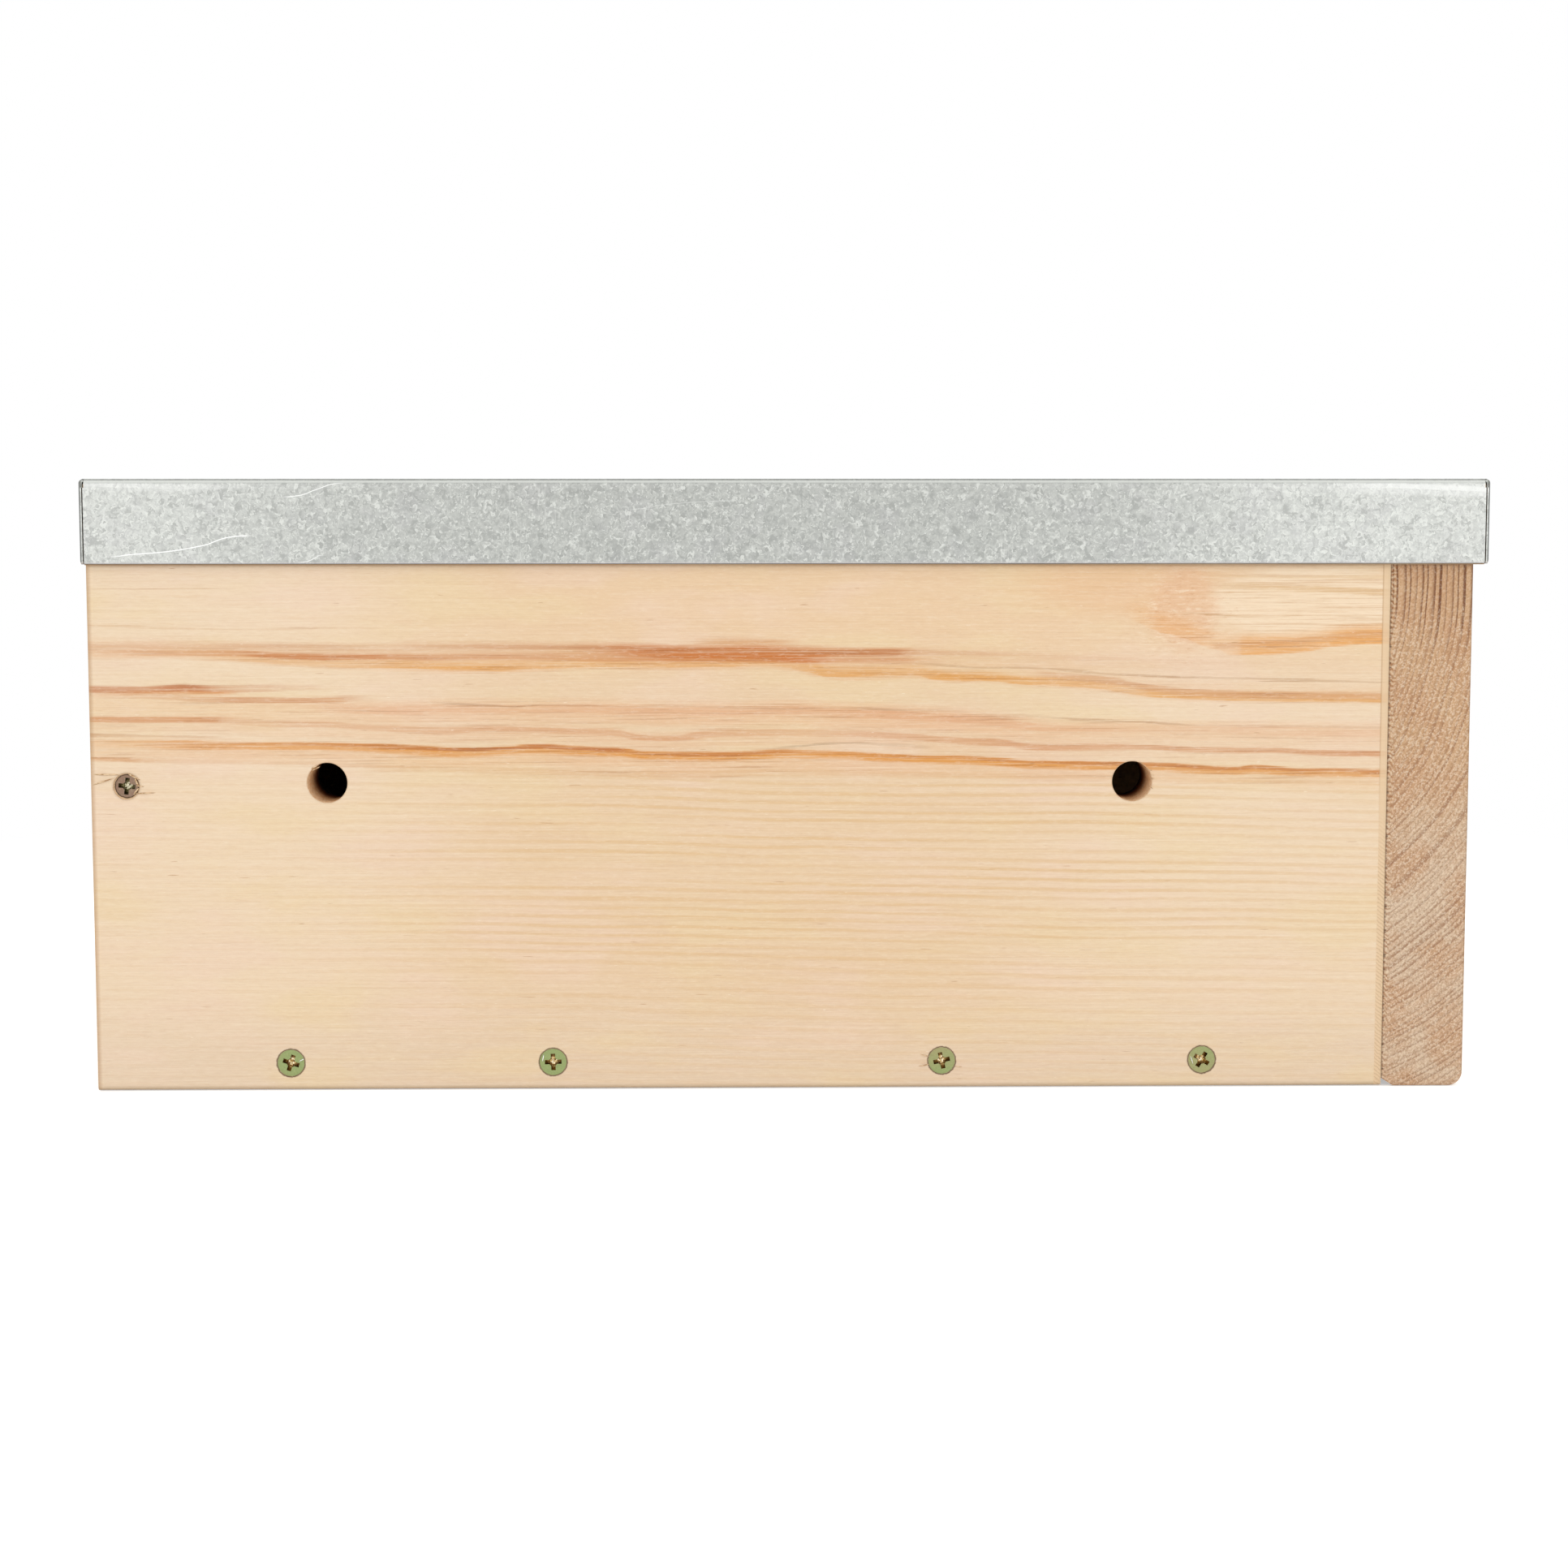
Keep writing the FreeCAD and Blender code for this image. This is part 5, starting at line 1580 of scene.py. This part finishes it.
@dataclass
class NestBox:
    """The whole box: the finishes of its CAD nodes and the small torn pieces added to them."""

    effects: SharedEffects
    burr_height: float = 0.12

    def build(self) -> None:
        """Dresses every node and adds the torn fibres and burrs."""
        self._dress_wood()
        self._dress_metal()
        self._add_fibres()
        self._add_burrs()

    def _dress_wood(self) -> None:
        """Dresses every board."""
        low, high = corners_mm("drilled_wall")
        wall = DrilledWallPine(low, high, HANGING_HOLES, (REAR_HEAD, *FLOOR_HEADS))
        dress("drilled_wall", wall.build(self.effects))
        dress("entrance_board", EntrancePine(*corners_mm("entrance_board")).build(self.effects))
        for node, grain, pith, pitch, seed, inward in (
                ("plain_wall", Grain.ALONG, (0.0, 44.0, 118.0), 2.6, 5.0, (0.0, -1.0, 0.0)),
                ("rear_board", Grain.ACROSS, (0.0, -120.0, 40.0), 2.2, 8.0, (1.0, 0.0, 0.0)),
                ("floor_plank_rear", Grain.ALONG, (0.0, 10.0, -60.0), 2.4, 11.0, (0.0, 0.0, 1.0)),
                ("floor_plank_front", Grain.ALONG, (0.0, -30.0, -45.0), 2.3, 13.0, (0.0, 0.0, 1.0)),
                ("roof_board", Grain.ALONG, (0.0, 20.0, 240.0), 2.8, 17.0, (0.0, 0.0, -1.0))):
            board = BoardPine(f"{node} pine", *corners_mm(node), grain, pith, pitch, seed, inward=inward)
            dress(node, board.build(self.effects))

    def _dress_metal(self) -> None:
        """Dresses the cap and every screw."""
        sheet = GalvanisedSheet(*corners_mm("roof_cap")).build(self.effects)
        dress("roof_cap", sheet)
        for node, *details in (
                ("floor_screws", Plating.FRESH, 95.4, (0.0, 1.0, 0.0)),
                ("rear_board_screws", Plating.SCUFFED, 94.9, (0.0, 1.0, 0.0), REAR_HEAD, 2.9),
                ("entrance_board_screws", Plating.FRESH, 169.95, (1.0, 0.0, 0.0)),
                ("roof_board_screws", Plating.FRESH, 151.4, (0.0, 0.0, 1.0)),
                ("cap_screws", Plating.FRESH, 175.25, (1.0, 0.0, 0.0))):
            dress(node, PlatedScrew(f"{node} plating", *details).build(self.effects))

    def _add_fibres(self) -> None:
        """Adds the fibres that the drill and the screws have torn out of the drilled wall."""
        face = WALL_FACE
        slivers = [
            Sliver((-171.9, face, 79.4), (-165.0, face, 79.3), 0.25, 0.35),
            Sliver((-171.9, face, 76.8), (-166.4, face, 78.6), 0.3, 0.3),
            Sliver((-161.6, face, 74.6), (-156.6, face, 74.8), 0.2, 0.3),
            Sliver((-163.2, face, 79.5), (-160.3, face, 78.0), 0.35, 0.42),
            Sliver((-161.6, face, 78.4), (-160.6, face, 76.3), 0.45, 0.5),
            Sliver((-161.4, face, 76.6), (-159.4, face, 76.3), 0.3, 0.22),
            Sliver((-162.0, face, 74.3), (-160.7, face, 76.0), 0.42, 0.44),
            Sliver((-118.0, face, 80.7), (-116.4, face, 81.6), 0.1, 0.35),
            Sliver((-117.7, face, 80.3), (-115.9, face, 81.2), 0.15, 0.3),
            Sliver((89.6, face, 80.3), (91.0, face, 79.7), 0.3, 0.16),
            Sliver((90.3, face, 79.2), (91.4, face, 78.6), 0.3, 0.14),
            Sliver((90.5, face, 77.9), (91.6, face, 77.9), 0.25, 0.14),
            Sliver((90.1, face, 76.0), (91.2, face, 75.2), 0.3, 0.16),
            Sliver((87.0, face, 82.1), (88.6, face, 81.7), 0.2, 0.14),
            Sliver((35.5, face, 7.9), (33.3, face, 8.4), 0.3, 0.24),
            Sliver((35.6, face, 5.9), (32.9, face, 5.4), 0.35, 0.26),
            Sliver((41.9, face, 5.4), (43.9, face, 5.2), 0.3, 0.24),
        ]
        wood = TornFibreWood().build(self.effects)
        ShavingSet("torn_fibres", "wall_pine", slivers).build(wood)

    def _add_burrs(self) -> None:
        """Adds the bright burrs that the driver has raised on the heads."""
        face = WALL_FACE + self.burr_height
        slivers = [
            Sliver((-122.3, face, 7.2), (-120.9, face, 7.9), 0.22, 0.3),
            Sliver((-61.5, face, 6.9), (-61.1, face, 8.8), 0.2, 0.28),
            Sliver((101.4, face, 7.6), (102.1, face, 5.6), 0.2, 0.26),
        ]
        ShavingSet("screw_burrs", "yellow_zinc", slivers).build(BurrMetal().build(self.effects))


@dataclass
class Studio:
    """A white floor and soft lamps to both sides of the camera."""

    ambient: float = 0.9
    floor_tone: str = "E8E8E8"
    white: str = "FFFFFF"
    floor_glow: float = 0.45
    floor_size: float = 8.0
    shadow_reach: tuple[float, float] = (0.3, 0.6)
    floor_drop: float = 0.0002

    def build(self) -> None:
        """Sets the world, the floor and the lamps."""
        self._world()
        self._floor()
        for name, place, size, power in (
                ("left_softbox", (-1.25, -1.45, 0.85), 1.6, 4.8),
                ("right_softbox", (1.3, -1.4, 0.85), 1.6, 4.8),
                ("top_softbox", (0.0, -0.35, 1.6), 1.6, 3.0)):
            self._lamp(name, Vector(place), size, power)

    def _world(self) -> None:
        """Makes the surroundings white to the camera and in reflections, and a soft fill elsewhere."""
        world = bpy.context.scene.world or bpy.data.worlds.new("studio")
        bpy.context.scene.world = world
        world.use_nodes = True
        world.node_tree.nodes.clear()
        bench = NodeBench(world.node_tree)
        seen = self._seen(bench)
        fill = bench.add("ShaderNodeBackground", {"Color": tone(self.white), "Strength": self.ambient})
        white = bench.add("ShaderNodeBackground", {"Color": tone(self.white), "Strength": 1.0})
        both = bench.add("ShaderNodeMixShader", {0: seen, 1: fill.outputs[0], 2: white.outputs[0]})
        bench.add("ShaderNodeOutputWorld", {"Surface": both.outputs[0]})

    @staticmethod
    def _seen(bench: NodeBench) -> Socket:
        """Finds the rays that come from the camera, from gloss or through glass.

        Args:
            bench: The bench of the material's node tree.

        Returns:
            The mask of the rays that see the surroundings.
        """
        path = bench.add("ShaderNodeLightPath").outputs
        return bench.math("MAXIMUM", path["Is Camera Ray"],
                          bench.math("MAXIMUM", path["Is Glossy Ray"], path["Is Transmission Ray"]))

    def _floor(self) -> None:
        """Lays the floor, which keeps a soft shadow."""
        bpy.ops.object.select_all(action="DESELECT")
        bpy.ops.mesh.primitive_plane_add(size=self.floor_size, location=(0, 0, -self.floor_drop))
        floor = bpy.context.object
        floor.name = "studio_floor"
        bpy.ops.object.transform_apply(location=True, rotation=True, scale=True)
        material = bpy.data.materials.new("studio floor")
        material.use_nodes = True
        material.node_tree.nodes.clear()
        bench = NodeBench(material.node_tree)
        paint = bench.add("ShaderNodeBsdfDiffuse", {"Color": tone(self.floor_tone)})
        glow = bench.add("ShaderNodeEmission", {
            "Color": tone(self.white), "Strength": bench.math("MULTIPLY", self._seen(bench),
                                                            self.floor_glow)})
        both = bench.add("ShaderNodeAddShader", {0: paint.outputs[0], 1: glow.outputs[0]})
        white = bench.add("ShaderNodeEmission", {"Color": tone(self.white), "Strength": 1.0})
        place = bench.add("ShaderNodeTexCoord").outputs["Object"]
        far = bench.math("MULTIPLY", bench.ease(bench.length(place), *self.shadow_reach), self._seen(bench))
        shown = bench.add("ShaderNodeMixShader", {0: far, 1: both.outputs[0], 2: white.outputs[0]})
        bench.add("ShaderNodeOutputMaterial", {"Surface": shown.outputs[0]})
        floor.data.materials.append(material)

    @staticmethod
    def _lamp(name: str, place: Vector, size: float, power: float) -> None:
        """Hangs one soft lamp that faces the middle of the box.

        Args:
            name: The lamp's name.
            place: Where it hangs, in metres.
            size: The length of its sides, in metres.
            power: Its power in watts.
        """
        bpy.ops.object.light_add(type="AREA", location=place)
        lamp = bpy.context.object
        lamp.name = name
        lamp.data.shape = "SQUARE"
        lamp.data.size = size
        lamp.data.energy = power
        lamp.rotation_euler = (Vector((0, 0, 0.07)) - place).to_track_quat("-Z", "Y").to_euler()


@dataclass
class StudioCamera:
    """The camera, at the height of the cap and square to the drilled wall."""

    place: Place = (-0.01248, -0.75673, 0.13697)
    heading: float = 1.004
    dip: float = 5.211
    roll: float = -0.029
    lens: float = 61.31

    def build(self) -> None:
        """Sets the camera up."""
        bpy.ops.object.camera_add(location=self.place)
        camera = bpy.context.object
        camera.name = "studio_camera"
        turn = (Matrix.Rotation(math.radians(-self.heading), 3, "Z")
                @ Matrix.Rotation(math.radians(90 - self.dip), 3, "X")
                @ Matrix.Rotation(math.radians(self.roll), 3, "Z"))
        camera.rotation_euler = turn.to_euler()
        camera.data.sensor_width = 36.0
        camera.data.lens = self.lens
        bpy.context.scene.camera = camera


def main() -> None:
    """Dresses the box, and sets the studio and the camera."""
    logging.basicConfig(level=logging.INFO, format="%(message)s")
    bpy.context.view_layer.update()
    bpy.ops.object.select_all(action="DESELECT")
    NestBox(SharedEffects()).build()
    Studio().build()
    StudioCamera().build()
    bpy.context.scene.view_settings.view_transform = "Standard"
    bpy.context.view_layer.update()


if __name__ == "__main__":
    main()
